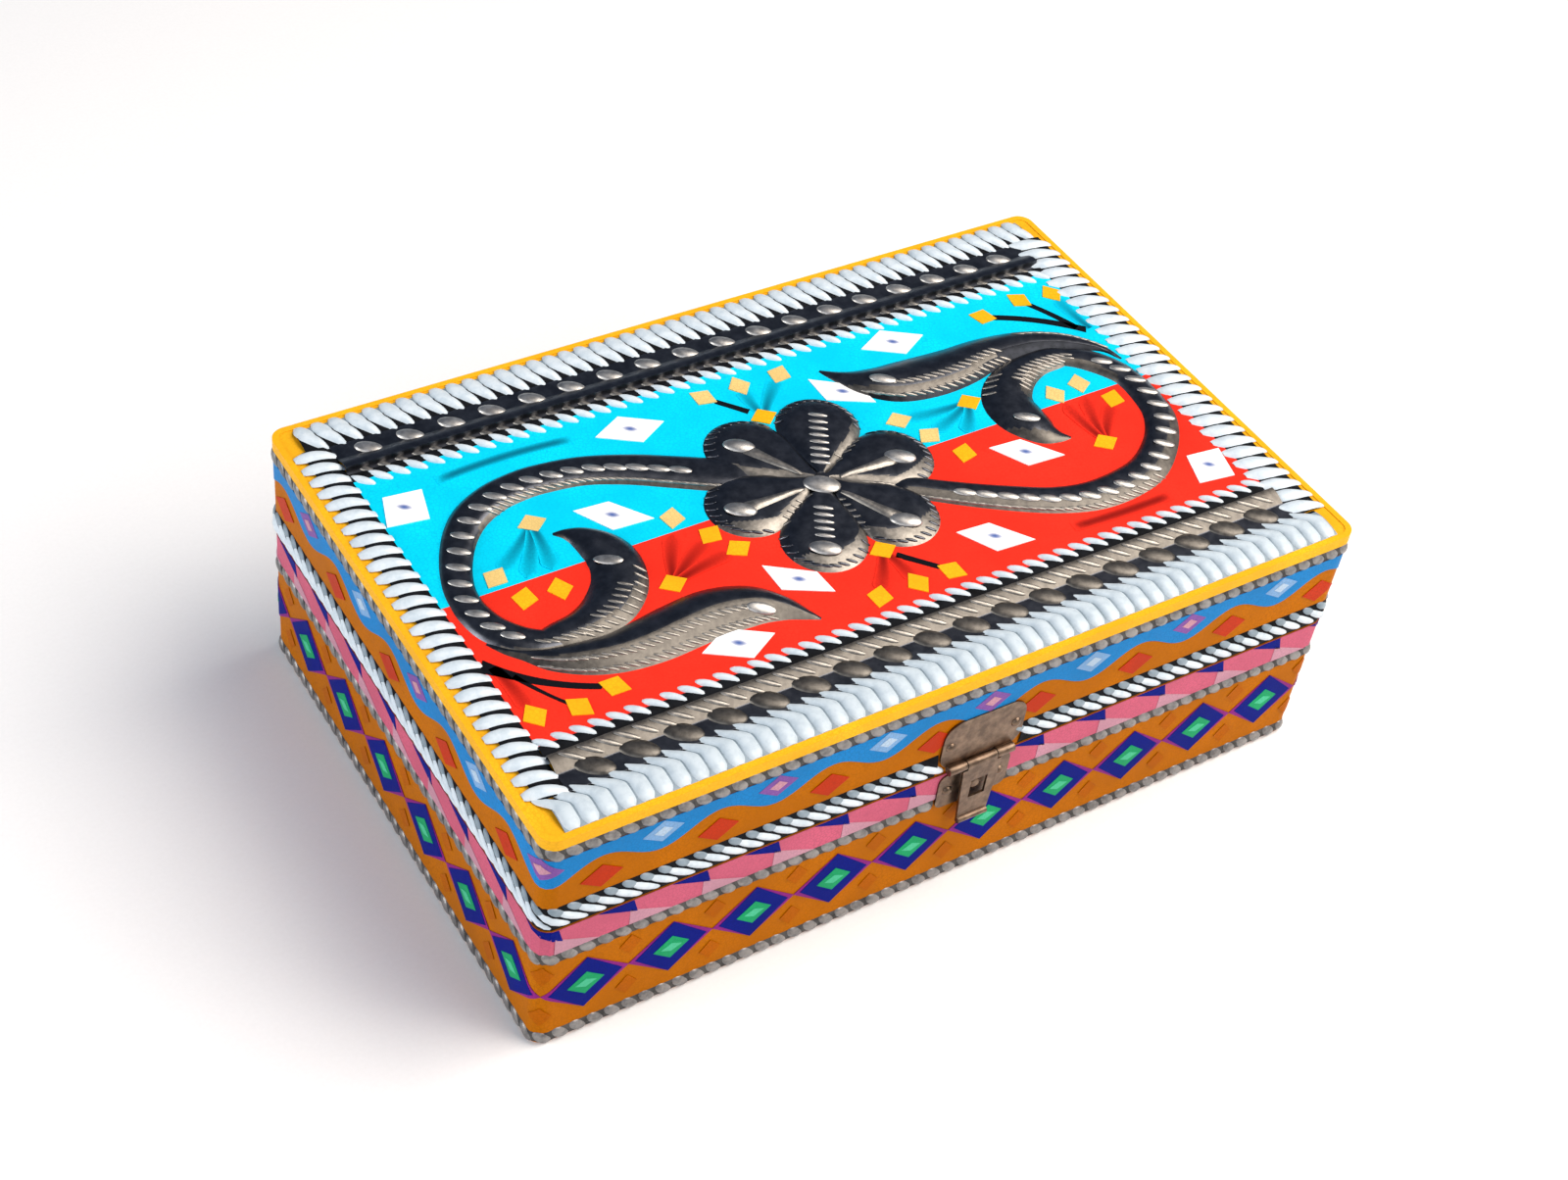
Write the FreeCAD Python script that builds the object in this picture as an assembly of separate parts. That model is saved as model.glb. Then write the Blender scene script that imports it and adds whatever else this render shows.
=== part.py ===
import FreeCAD, Part
import math
import os

Vec = FreeCAD.Vector

# Closed box measured over its tin skin. The origin is the middle of the underside.
box_width = 240.0
box_depth = 152.0
box_height = 76.0
lid_height = 32.0
corner_radius = 4.0

# Wooden carcass and the flocked cards that line it.
wall_thickness = 8.0
floor_thickness = 5.0
board_thickness = 6.0
lining_thickness = 1.5
lining_reveal = 2.0

# Tin skin round the walls, tin sheet on the lid, coloured films and tapes on them.
skin_thickness = 0.6
skin_setback = 0.4
sheet_thickness = 0.8
film_thickness = 0.3
tape_thickness = 0.25
binding_width = 3.0
binding_reveal = 1.5

# Narrow cords and the broad rope that run round the walls.
cord_rise = 0.8
cord_width = 3.8
middle_cord_level = 31.0
rope_rise = 1.2
rope_width = 7.8

# Bands on the lid's top, from the edge binding in to the coloured field.
border_width = 10.0
border_rise = 2.2
bead_band_width = 12.5
bead_band_rise = 0.7
bead_pitch = 11.7
bead_radius = 2.9
bead_height = 1.5
bead_offset = 1.0
inner_rope_width = 5.0
inner_rope_rise = 1.5

# Flower of round petals, each with a spine that ends in a boss.
petal_count = 6
petal_reach = 33.5
lobe_radius = 11.4
lobe_bevel = 2.2
flower_rise = 2.0
hub_radius = 18.5
hub_boss_radius = 4.5
hub_boss_height = 1.5
spine_start = 5.0
spine_small_radius = 0.6
spine_large_radius = 1.4
petal_boss_radius = 3.2
petal_boss_height = 1.3
petal_boss_inset = 9.0

# Scrolls: an arm that curls into a hook, and the leaf along its foot. Places are in shares of the field, with
# the width there in millimetres; a band as wide as its full width stands at its full rise.
arm_rise = 2.3
arm_full_width = 9.0
left_arm = [
    (-0.203, 0.281, 12.5), (-0.306, 0.421, 12.4), (-0.398, 0.538, 11.6), (-0.500, 0.632, 10.9),
    (-0.603, 0.668, 10.8), (-0.667, 0.666, 10.6), (-0.736, 0.634, 10.3), (-0.808, 0.551, 9.8),
    (-0.865, 0.421, 8.9), (-0.909, 0.255, 8.2), (-0.935, 0.102, 7.9), (-0.942, -0.011, 8.0),
    (-0.940, -0.119, 8.6), (-0.924, -0.249, 9.2), (-0.880, -0.379, 9.4), (-0.811, -0.426, 9.6),
    (-0.737, -0.415, 10.5), (-0.668, -0.351, 12.5), (-0.613, -0.245, 13.5), (-0.583, -0.128, 14.0),
    (-0.578, -0.011, 13.4), (-0.590, 0.085, 11.6), (-0.611, 0.170, 8.0), (-0.636, 0.226, 4.0),
    (-0.664, 0.255, 0.8),
]
right_arm = [
    (0.203, -0.268, 8.2), (0.238, -0.326, 8.4), (0.312, -0.445, 9.0), (0.394, -0.562, 9.6),
    (0.487, -0.674, 10.0), (0.583, -0.736, 10.8), (0.686, -0.732, 11.0), (0.778, -0.674, 10.5),
    (0.865, -0.526, 9.6), (0.920, -0.355, 9.4), (0.938, -0.189, 9.0), (0.940, 0.000, 8.5),
    (0.924, 0.128, 9.2), (0.880, 0.266, 9.5), (0.816, 0.353, 9.0), (0.742, 0.353, 9.8),
    (0.673, 0.304, 12.0), (0.620, 0.217, 13.8), (0.593, 0.117, 14.8), (0.589, 0.011, 15.0),
    (0.597, -0.085, 13.5), (0.613, -0.181, 10.0), (0.636, -0.240, 5.0), (0.664, -0.277, 0.8),
]
leaf_rise = 2.6
leaf_full_width = 15.4
left_leaf = [
    (-0.894, -0.479, 3.5), (-0.848, -0.564, 8.0), (-0.779, -0.623, 11.5), (-0.705, -0.660, 13.3),
    (-0.622, -0.655, 15.2), (-0.542, -0.634, 16.0), (-0.450, -0.621, 16.0), (-0.369, -0.660, 14.0),
    (-0.309, -0.745, 9.0), (-0.270, -0.836, 4.0), (-0.245, -0.900, 0.8),
]
right_leaf = [
    (0.949, 0.309, 3.0), (0.885, 0.434, 7.2), (0.811, 0.515, 9.4), (0.737, 0.547, 11.4),
    (0.645, 0.551, 13.4), (0.553, 0.526, 15.8), (0.461, 0.523, 17.0), (0.369, 0.553, 15.8),
    (0.300, 0.632, 11.0), (0.253, 0.730, 5.0), (0.220, 0.823, 0.8),
]
relief_sections = 30

# Slanted white lozenges: outlines in shares of their length, places in shares of the field.
lozenge_length = 16.0
upright_lozenge_shares = [(-0.21, 0.34), (0.43, 0.27), (0.25, -0.39), (-0.43, -0.30)]
level_lozenge_shares = [(-0.51, 0.34), (0.10, 0.30), (0.57, -0.34), (-0.15, -0.30)]
steep_lozenge_shares = [(-0.36, 0.51), (0.35, 0.02), (0.38, -0.47), (-0.36, -0.08)]
long_lozenge_shares = [(-0.61, 0.06), (-0.03, 0.36), (0.61, -0.05), (0.05, -0.36)]
lozenge_place_shares = [
    (-0.931, 0.764, upright_lozenge_shares),
    (-0.323, 0.823, long_lozenge_shares),
    (-0.509, 0.249, level_lozenge_shares),
    (0.230, 0.609, steep_lozenge_shares),
    (0.456, 0.870, long_lozenge_shares),
    (0.920, -0.809, upright_lozenge_shares),
    (0.276, -0.774, level_lozenge_shares),
    (0.524, -0.272, level_lozenge_shares),
    (-0.225, -0.602, steep_lozenge_shares),
    (-0.455, -0.870, long_lozenge_shares),
]

# Fans of yellow tabs on dark stems: the root of each fan, whether it has a tab, and its three tips.
tab_length = 8.0
tab_width = 6.6
stem_width = 1.4
stem_start = 4.8
fans_on_field = [
    ((0.000, 0.608), True, [(-0.100, 0.892), (0.005, 0.896), (0.120, 0.892)]),
    ((0.007, -0.602), True, [(0.118, -0.896), (0.022, -0.896), (-0.084, -0.896)]),
    ((0.973, 0.455), False, [(0.735, 0.851), (0.866, 0.894), (0.964, 0.868)]),
    ((-0.980, -0.438), False, [(-0.766, -0.857), (-0.864, -0.906), (-0.962, -0.862)]),
    ((-0.690, 0.374), True, [(-0.847, 0.085), (-0.818, -0.115), (-0.732, -0.128)]),
    ((0.732, -0.396), True, [(0.852, -0.100), (0.807, 0.096), (0.724, 0.072)]),
    ((-0.493, -0.345), True, [(-0.386, 0.094), (-0.334, -0.106), (-0.298, -0.260)]),
    ((0.503, 0.226), True, [(0.300, 0.260), (0.339, 0.077), (0.382, -0.132)]),
]

# Hasp and catch at the front.
hasp_offset = 3.0
plate_thickness = 0.7
hasp_plate_width = 25.0
hasp_plate_height = 16.0
hasp_plate_radius = 5.0
barrel_radius = 1.3
hasp_pin_radius = 0.55
barrel_length = 20.0
flap_width = 12.0
flap_tip_width = 9.0
flap_length = 20.0
flap_knuckle_length = 9.0
flap_lip_radius = 0.9
window_width = 5.0
window_height = 6.4
stud_drop = 9.0
stud_radius = 1.6
stud_length = 1.2
catch_plate_width = 22.0
catch_plate_height = 12.0
catch_plate_radius = 2.5
catch_plate_drop = 1.0
hasp_nail_spacing = 20.0
catch_nail_spacing = 16.0

# Two butt hinges on the back.
hinge_offset = 70.0
hinge_width = 24.0
leaf_height = 8.0
hinge_leaf_thickness = 0.9
knuckle_radius = 2.0
hinge_pin_radius = 0.9
lid_knuckle_length = 9.0
hinge_nail_spacing = 16.0
hinge_nail_height = 5.2

# Round-headed nails, and the play between pieces.
nail_shank_radius = 0.6
nail_depth = 5.0
nail_head_radius = 1.5
nail_head_rise = 0.9
nail_clearance = 0.05
running_clearance = 0.05
side_clearance = 0.2
swing_clearance = 0.3
trim_clearance = 0.4
overrun = 1.0

# Values that follow from the sizes above.
base_height = box_height - lid_height
carcass_width = box_width - 2 * skin_thickness
carcass_depth = box_depth - 2 * skin_thickness
carcass_radius = corner_radius - skin_thickness
inner_width = carcass_width - 2 * wall_thickness
inner_depth = carcass_depth - 2 * wall_thickness
sheet_level = box_height - sheet_thickness
board_level = sheet_level - board_thickness
field_length = box_width - 2 * (binding_reveal + border_width)
field_depth = box_depth - 2 * (binding_reveal + border_width + bead_band_width + inner_rope_width)
film_level = box_height + film_thickness
front_face = -box_depth / 2
back_face = box_depth / 2
hasp_axis_y = front_face - swing_clearance - barrel_radius
hasp_axis_z = base_height + skin_setback + barrel_radius + swing_clearance
hinge_axis_y = back_face + swing_clearance + knuckle_radius
catch_plate_top = base_height - catch_plate_drop
stud_level = hasp_axis_z - stud_drop

up = Vec(0, 0, 1)
forward = Vec(0, -1, 0)
backward = Vec(0, 1, 0)
sideways = Vec(1, 0, 0)


def save(name, shape):
    """Write one piece to its own file."""
    shape.exportStep("parts/" + name + ".step")


def block(width, depth, height, centre_x, centre_y, bottom):
    """Square block, centred in plan on the given place."""
    return Part.makeBox(width, depth, height, Vec(centre_x - width / 2, centre_y - depth / 2, bottom))


def rounded_block(width, depth, radius, bottom, height):
    """Block round the origin with its four upright edges rounded."""
    body = block(width, depth, height, 0, 0, bottom)
    upright = [edge for edge in body.Edges if abs(edge.tangentAt(edge.FirstParameter).dot(up)) > 0.5]
    return body.makeFillet(radius, upright)


def outer_ring(rise, bottom, height):
    """Band that stands proud of the skin all round the box."""
    outside = rounded_block(box_width + 2 * rise, box_depth + 2 * rise, corner_radius + rise, bottom, height)
    return outside.cut(rounded_block(box_width, box_depth, corner_radius, bottom, height))


def dome(base, outward, radius, rise):
    """Cap of a sphere that stands on a round base."""
    ball_radius = (radius ** 2 + rise ** 2) / (2 * rise)
    latitude = math.degrees(math.asin((ball_radius - rise) / ball_radius))
    centre = base - outward * (ball_radius - rise)
    return Part.makeSphere(ball_radius, centre, outward, latitude, 90, 360)


def moulding(start, along, across, width, rise):
    """Strip with a low round back, laid from a start point along a direction."""
    left = start - across * (width / 2)
    right = start + across * (width / 2)
    arch = Part.Arc(left, start + up * rise, right).toShape()
    return Part.Face(Part.Wire([arch, Part.makeLine(right, left)])).extrude(along)


def plate(points, bottom, thickness):
    """Flat plate cut to a polygon of plan points."""
    corners = [Vec(x, y, bottom) for x, y in points]
    return Part.Face(Part.makePolygon(corners + corners[:1])).extrude(up * thickness)


def on_field(share):
    """Plan point at shares of half the field's length and depth."""
    return share[0] * field_length / 2, share[1] * field_depth / 2


def nail(place, outward):
    """Round-headed nail whose head lies on the given place."""
    shank = Part.makeCylinder(nail_shank_radius, nail_depth, place, outward * -1)
    return dome(place, outward, nail_head_radius, nail_head_rise).fuse(shank)


def nail_hole(place, outward):
    """Room for a nail's shank, and for a little beyond its point."""
    radius = nail_shank_radius + nail_clearance
    mouth = place + outward * overrun
    return Part.makeCylinder(radius, overrun + nail_depth + nail_clearance, mouth, outward * -1)


def drilled(shape, places, outward):
    """Shape with a nail hole at each place."""
    return shape.cut([nail_hole(place, outward) for place in places])


def nail_pair(middle_x, spacing, y, z):
    """Places of two nails side by side."""
    return [Vec(middle_x + side * spacing / 2, y, z) for side in (-1, 1)]


def front_nail_places():
    """Nail places of the hasp plate and of the catch plate."""
    y = front_face - plate_thickness
    hasp = nail_pair(hasp_offset, hasp_nail_spacing, y, hasp_axis_z + hasp_plate_height / 2)
    catch = nail_pair(hasp_offset, catch_nail_spacing, y, catch_plate_top - catch_plate_height / 2)
    return hasp, catch


def hinge_nail_places():
    """Nail places of both hinges, in the lid leaves and in the base leaves."""
    y = back_face + hinge_leaf_thickness
    lid = []
    base = []
    for side in (-1, 1):
        lid += nail_pair(side * hinge_offset, hinge_nail_spacing, y, base_height + hinge_nail_height)
        base += nail_pair(side * hinge_offset, hinge_nail_spacing, y, base_height - hinge_nail_height)
    return lid, base


def make_walls(prefix, suffix, bottom, height, front_nails, back_nails):
    """Four boards: the long ones run right across, the short ones stand between them."""
    solid = rounded_block(carcass_width, carcass_depth, carcass_radius, bottom, height)
    long_y = (carcass_depth - wall_thickness) / 2
    short_x = (carcass_width - wall_thickness) / 2
    front = solid.common(block(carcass_width, wall_thickness, height, 0, -long_y, bottom))
    back = solid.common(block(carcass_width, wall_thickness, height, 0, long_y, bottom))
    save(prefix + "front" + suffix, drilled(front, front_nails, forward))
    save(prefix + "back" + suffix, drilled(back, back_nails, backward))
    save(prefix + "left" + suffix, block(wall_thickness, inner_depth, height, -short_x, 0, bottom))
    save(prefix + "right" + suffix, block(wall_thickness, inner_depth, height, short_x, 0, bottom))


def make_wall_linings(prefix, bottom, height):
    """Flocked cards that stand against the inside of the walls."""
    long_y = (inner_depth - lining_thickness) / 2
    short_x = (inner_width - lining_thickness) / 2
    short_depth = inner_depth - 2 * lining_thickness
    save(prefix + "front_lining", block(inner_width, lining_thickness, height, 0, -long_y, bottom))
    save(prefix + "back_lining", block(inner_width, lining_thickness, height, 0, long_y, bottom))
    save(prefix + "left_lining", block(lining_thickness, short_depth, height, -short_x, 0, bottom))
    save(prefix + "right_lining", block(lining_thickness, short_depth, height, short_x, 0, bottom))


def make_base():
    """Floor, walls, linings, skin and cords of the lower half."""
    hasp_nails, catch_nails = front_nail_places()
    lid_nails, base_nails = hinge_nail_places()
    save("base_floor", rounded_block(carcass_width, carcass_depth, carcass_radius, 0, floor_thickness))
    make_walls("base_", "_wall", floor_thickness, base_height - floor_thickness, catch_nails, base_nails)
    save("base_floor_lining", block(inner_width, inner_depth, lining_thickness, 0, 0, floor_thickness))
    lining_bottom = floor_thickness + lining_thickness
    make_wall_linings("base_", lining_bottom, base_height - lining_reveal - lining_bottom)
    skin_height = base_height - 2 * skin_setback
    skin = rounded_block(box_width, box_depth, corner_radius, skin_setback, skin_height)
    skin = skin.cut(rounded_block(carcass_width, carcass_depth, carcass_radius, skin_setback, skin_height))
    skin = drilled(drilled(skin, catch_nails, forward), base_nails, backward)
    save("base_skin", skin)
    gap_width = catch_plate_width + 2 * trim_clearance
    gap = block(gap_width, box_depth / 2, cord_width, hasp_offset, front_face, middle_cord_level)
    save("base_middle_cord", outer_ring(cord_rise, middle_cord_level, cord_width).cut(gap))
    save("base_bottom_cord", outer_ring(cord_rise, skin_setback, cord_width))


def make_lid():
    """Board, rims, linings, skin, cord and rope of the upper half."""
    hasp_nails, catch_nails = front_nail_places()
    lid_nails, base_nails = hinge_nail_places()
    board = rounded_block(carcass_width, carcass_depth, carcass_radius, board_level, board_thickness)
    save("lid_board", board)
    make_walls("lid_", "_rim", base_height, board_level - base_height, hasp_nails, lid_nails)
    lining_top = board_level - lining_thickness
    save("lid_top_lining", block(inner_width, inner_depth, lining_thickness, 0, 0, lining_top))
    lining_bottom = base_height + lining_reveal
    make_wall_linings("lid_", lining_bottom, lining_top - lining_bottom)
    skin_bottom = base_height + skin_setback
    skin_height = sheet_level - skin_bottom
    skin = rounded_block(box_width, box_depth, corner_radius, skin_bottom, skin_height)
    skin = skin.cut(rounded_block(carcass_width, carcass_depth, carcass_radius, skin_bottom, skin_height))
    skin = drilled(drilled(skin, hasp_nails, forward), lid_nails, backward)
    save("lid_skin", skin)
    cord_bottom = box_height - binding_width - cord_width
    save("lid_upper_cord", outer_ring(cord_rise, cord_bottom, cord_width))
    gaps = [block(hasp_plate_width + 2 * trim_clearance, box_depth / 2, rope_width,
                  hasp_offset, front_face, skin_bottom)]
    for side in (-1, 1):
        gaps.append(block(hinge_width + 2 * trim_clearance, box_depth / 2, rope_width,
                          side * hinge_offset, back_face, skin_bottom))
    save("lid_rope", outer_ring(rope_rise, skin_bottom, rope_width).cut(gaps))


def make_top_bands():
    """Tin sheet, edge binding, ribbed borders, bead bands and inner ropes of the lid's top."""
    save("top_sheet", rounded_block(box_width, box_depth, corner_radius, sheet_level, sheet_thickness))
    binding_bottom = box_height - binding_width
    binding = rounded_block(box_width + 2 * tape_thickness, box_depth + 2 * tape_thickness,
                            corner_radius + tape_thickness, binding_bottom, binding_width + tape_thickness)
    binding = binding.cut(rounded_block(box_width, box_depth, corner_radius, binding_bottom, binding_width))
    opening = rounded_block(box_width - 2 * binding_reveal, box_depth - 2 * binding_reveal,
                            corner_radius - binding_reveal, box_height, binding_width)
    save("edge_binding", binding.cut(opening))
    border_x = (field_length + border_width) / 2
    border_y = box_depth / 2 - binding_reveal - border_width / 2
    band_y = border_y - (border_width + bead_band_width) / 2
    rope_y = band_y - (bead_band_width + inner_rope_width) / 2
    long_length = box_width - 2 * (binding_reveal + corner_radius)
    side_length = box_depth - 2 * (binding_reveal + border_width)
    for name, side in (("left", -1), ("right", 1)):
        start = Vec(side * border_x, -side_length / 2, box_height)
        save(name + "_border", moulding(start, backward * side_length, sideways, border_width, border_rise))
    bead_count = int((field_length - 2 * bead_radius) / bead_pitch)
    for name, side in (("front", -1), ("back", 1)):
        start = Vec(-long_length / 2, side * border_y, box_height)
        save(name + "_border", moulding(start, sideways * long_length, backward, border_width, border_rise))
        start = Vec(-field_length / 2, side * rope_y, box_height)
        rope = moulding(start, sideways * field_length, backward, inner_rope_width, inner_rope_rise)
        save(name + "_inner_rope", rope)
        band = block(field_length, bead_band_width, bead_band_rise, 0, side * band_y, box_height)
        beads = []
        for index in range(bead_count):
            x = (index - (bead_count - 1) / 2) * bead_pitch
            foot = Vec(x, side * (band_y + bead_offset), box_height + bead_band_rise)
            beads.append(dome(foot, up, bead_radius, bead_height))
        save(name + "_bead_band", band.fuse(beads))


def flower():
    """Six petals round a hub, pressed out of one sheet."""
    top = box_height + film_thickness + flower_rise
    lobe_centre = petal_reach - lobe_radius
    boss_centre = petal_reach - petal_boss_inset
    lobe = Part.makeCone(lobe_radius, lobe_radius - lobe_bevel, flower_rise, Vec(lobe_centre, 0, film_level))
    spine = Part.makeCone(spine_small_radius, spine_large_radius, boss_centre - spine_start,
                          Vec(spine_start, 0, top), sideways)
    boss = dome(Vec(boss_centre, 0, top), up, petal_boss_radius, petal_boss_height)
    petal = lobe.fuse([spine, boss])
    pieces = []
    for index in range(petal_count):
        turned = petal.copy()
        turned.rotate(Vec(0, 0, 0), up, index * 360 / petal_count)
        pieces.append(turned)
    pieces.append(dome(Vec(0, 0, top), up, hub_boss_radius, hub_boss_height))
    hub = Part.makeCylinder(hub_radius, flower_rise, Vec(0, 0, film_level))
    return hub.fuse(pieces).removeSplitter()


def relief(places, full_width, rise):
    """Round-backed band along a curve through the field, swelling and tapering with the widths given."""
    knots = []
    for x_share, y_share, width in places:
        x, y = on_field((x_share, y_share))
        knots.append(Vec(x, y, width))
    line = Part.BSplineCurve()
    line.interpolate(knots)
    sections = []
    for knot in line.discretize(Number=relief_sections):
        along = line.tangent(line.parameter(knot))[0]
        along = Vec(along.x, along.y, 0).normalize()
        middle = Vec(knot.x, knot.y, film_level)
        across = Vec(-along.y, along.x, 0) * (knot.z / 2)
        crown = middle + up * (rise * min(1, knot.z / full_width))
        arch = Part.Arc(middle - across, crown, middle + across).toShape()
        sections.append(Part.Wire([arch, Part.makeLine(middle + across, middle - across)]))
    return Part.makeLoft(sections, True)


def scroll(arm_places, leaf_places, centre_piece):
    """An arm that leaves the flower and curls round into a hook, with a leaf along its foot."""
    arm = relief(arm_places, arm_full_width, arm_rise)
    leaf = relief(leaf_places, leaf_full_width, leaf_rise)
    return arm.fuse(leaf).cut(centre_piece)


def lozenges():
    """White lozenges between the scrolls."""
    pieces = []
    for x_share, y_share, outline_shares in lozenge_place_shares:
        x, y = on_field((x_share, y_share))
        points = [(x + px * lozenge_length, y + py * lozenge_length) for px, py in outline_shares]
        pieces.append(plate(points, film_level, tape_thickness))
    return pieces


def fans():
    """Stems that spread from a root, and the tabs at their tips and roots."""
    stems = []
    tabs = []
    for root_share, root_tab, tip_shares in fans_on_field:
        root = Vec(*on_field(root_share), film_level)
        for share in tip_shares:
            tip = Vec(*on_field(share), film_level)
            along = (tip - root).normalize()
            half = Vec(-along.y, along.x, 0) * (stem_width / 2)
            near = root + along * stem_start
            far = tip - along * (tab_length / 2)
            corners = [near - half, far - half, far + half, near + half]
            stems.append(plate([(p.x, p.y) for p in corners], film_level, tape_thickness))
            tabs.append(tab_at(tip, along))
        if root_tab:
            tabs.append(tab_at(root, sideways))
    return stems, tabs


def tab_at(middle, along):
    """Yellow diamond of tape whose long way follows a direction."""
    across = Vec(-along.y, along.x, 0) * (tab_width / 2)
    reach = along * (tab_length / 2)
    corners = [middle - reach, middle - across, middle + reach, middle + across]
    return plate([(p.x, p.y) for p in corners], film_level, tape_thickness)


def make_field():
    """Two coloured films, the pressed ornament on them and the cut tapes between."""
    half_depth = field_depth / 2
    save("cyan_field", block(field_length, half_depth, film_thickness, 0, half_depth / 2, box_height))
    save("red_field", block(field_length, half_depth, film_thickness, 0, -half_depth / 2, box_height))
    centre_piece = flower()
    left = scroll(left_arm, left_leaf, centre_piece)
    right = scroll(right_arm, right_leaf, centre_piece)
    save("flower", centre_piece)
    save("left_scroll", left)
    save("right_scroll", right)
    stems, tabs = fans()
    ornament = [centre_piece, left, right]
    save("lozenges", Part.makeCompound(lozenges()).cut(ornament))
    save("stems", Part.makeCompound(stems).cut(ornament))
    save("tabs", Part.makeCompound(tabs).cut(ornament))


def upright_plate(width, height, radius, centre_x, top, face_y):
    """Sheet-metal plate against the front, its four corners rounded."""
    body = Part.makeBox(width, plate_thickness, height,
                        Vec(centre_x - width / 2, face_y - plate_thickness, top - height))
    level = [edge for edge in body.Edges if abs(edge.tangentAt(edge.FirstParameter).dot(backward)) > 0.5]
    return body.makeFillet(radius, level)


def hasp_barrel(length, centre_x, radius):
    """Cylinder on the hasp's hinge line."""
    return Part.makeCylinder(radius, length, Vec(centre_x - length / 2, hasp_axis_y, hasp_axis_z), sideways)


def make_hasp():
    """Plate and pin on the lid, flap on the pin, plate and stud on the base."""
    hasp_nails, catch_nails = front_nail_places()
    bore = hasp_barrel(barrel_length + 2 * overrun, hasp_offset, hasp_pin_radius + running_clearance)
    flap_room = hasp_barrel(flap_knuckle_length + 2 * side_clearance, hasp_offset,
                            barrel_radius + swing_clearance)
    body = upright_plate(hasp_plate_width, hasp_plate_height, hasp_plate_radius,
                         hasp_offset, hasp_axis_z + hasp_plate_height, front_face)
    body = body.fuse(hasp_barrel(barrel_length, hasp_offset, barrel_radius))
    save("hasp_plate", drilled(body.cut([flap_room, bore]), hasp_nails, forward))
    save("hasp_pin", hasp_barrel(barrel_length, hasp_offset, hasp_pin_radius))
    save("hasp_nails", Part.makeCompound([nail(place, forward) for place in hasp_nails]))
    save("hasp_flap", hasp_flap(bore))
    catch = upright_plate(catch_plate_width, catch_plate_height, catch_plate_radius,
                          hasp_offset, catch_plate_top, front_face)
    save("catch_plate", drilled(catch, catch_nails, forward))
    foot = Vec(hasp_offset, front_face - plate_thickness, stud_level)
    stud = Part.makeCylinder(stud_radius, stud_length, foot, forward)
    rim = max(stud.Edges, key=lambda edge: -edge.CenterOfMass.y)
    save("catch_stud", stud.makeFillet(stud_length / 2, [rim]))
    save("catch_nails", Part.makeCompound([nail(place, forward) for place in catch_nails]))


def hasp_flap(bore):
    """Tongue that hangs from the pin, with a window for the stud and a lip to lift it by."""
    outer_y = hasp_axis_y - barrel_radius
    tip_z = hasp_axis_z - flap_length
    corners = [
        (-flap_width / 2, hasp_axis_z), (-flap_tip_width / 2, tip_z),
        (flap_tip_width / 2, tip_z), (flap_width / 2, hasp_axis_z),
    ]
    outline = [Vec(hasp_offset + x, outer_y, z) for x, z in corners]
    tongue = Part.Face(Part.makePolygon(outline + outline[:1])).extrude(backward * plate_thickness)
    window = Part.makeBox(window_width, plate_thickness, window_height,
                          Vec(hasp_offset - window_width / 2, outer_y, stud_level - window_height / 2))
    side_room = hasp_barrel(barrel_length + 2 * overrun, hasp_offset, barrel_radius + swing_clearance)
    side_room = side_room.cut(hasp_barrel(flap_knuckle_length, hasp_offset, barrel_radius + swing_clearance))
    knuckle = hasp_barrel(flap_knuckle_length, hasp_offset, barrel_radius)
    lip = Part.makeCylinder(flap_lip_radius, flap_tip_width,
                            Vec(hasp_offset - flap_tip_width / 2, outer_y, tip_z), sideways)
    inner_corner = Vec(hasp_offset - flap_tip_width / 2, outer_y + plate_thickness, tip_z - flap_lip_radius)
    inner_side = Part.makeBox(flap_tip_width, flap_lip_radius, 2 * flap_lip_radius, inner_corner)
    return tongue.cut([window, side_room]).fuse([knuckle, lip.cut(inner_side)]).cut(bore)


def hinge_barrel(length, centre_x, radius):
    """Cylinder on the lid's hinge line."""
    return Part.makeCylinder(radius, length, Vec(centre_x - length / 2, hinge_axis_y, base_height), sideways)


def hinge_pair(centre_x, lid_nails, base_nails):
    """Lid leaf with the middle knuckle, base leaf with the two outer ones, and their pin."""
    bore = hinge_barrel(hinge_width + 2 * overrun, centre_x, hinge_pin_radius + running_clearance)
    middle = hinge_barrel(lid_knuckle_length, centre_x, knuckle_radius)
    full = hinge_barrel(hinge_width, centre_x, knuckle_radius)
    middle_room = hinge_barrel(lid_knuckle_length + 2 * side_clearance, centre_x,
                               knuckle_radius + swing_clearance)
    full_room = hinge_barrel(hinge_width + 2 * overrun, centre_x, knuckle_radius + swing_clearance)
    outer_room = full_room.cut(hinge_barrel(lid_knuckle_length, centre_x, knuckle_radius + swing_clearance))
    leaf_y = back_face + hinge_leaf_thickness / 2
    lid_leaf = block(hinge_width, hinge_leaf_thickness, leaf_height, centre_x, leaf_y, base_height)
    base_bottom = base_height - leaf_height
    base_leaf = block(hinge_width, hinge_leaf_thickness, leaf_height, centre_x, leaf_y, base_bottom)
    lid_leaf = lid_leaf.cut(outer_room).fuse(middle).cut(bore)
    base_leaf = base_leaf.fuse(full).cut([middle_room, bore])
    pin = hinge_barrel(hinge_width, centre_x, hinge_pin_radius)
    return drilled(lid_leaf, lid_nails, backward), drilled(base_leaf, base_nails, backward), pin


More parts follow.
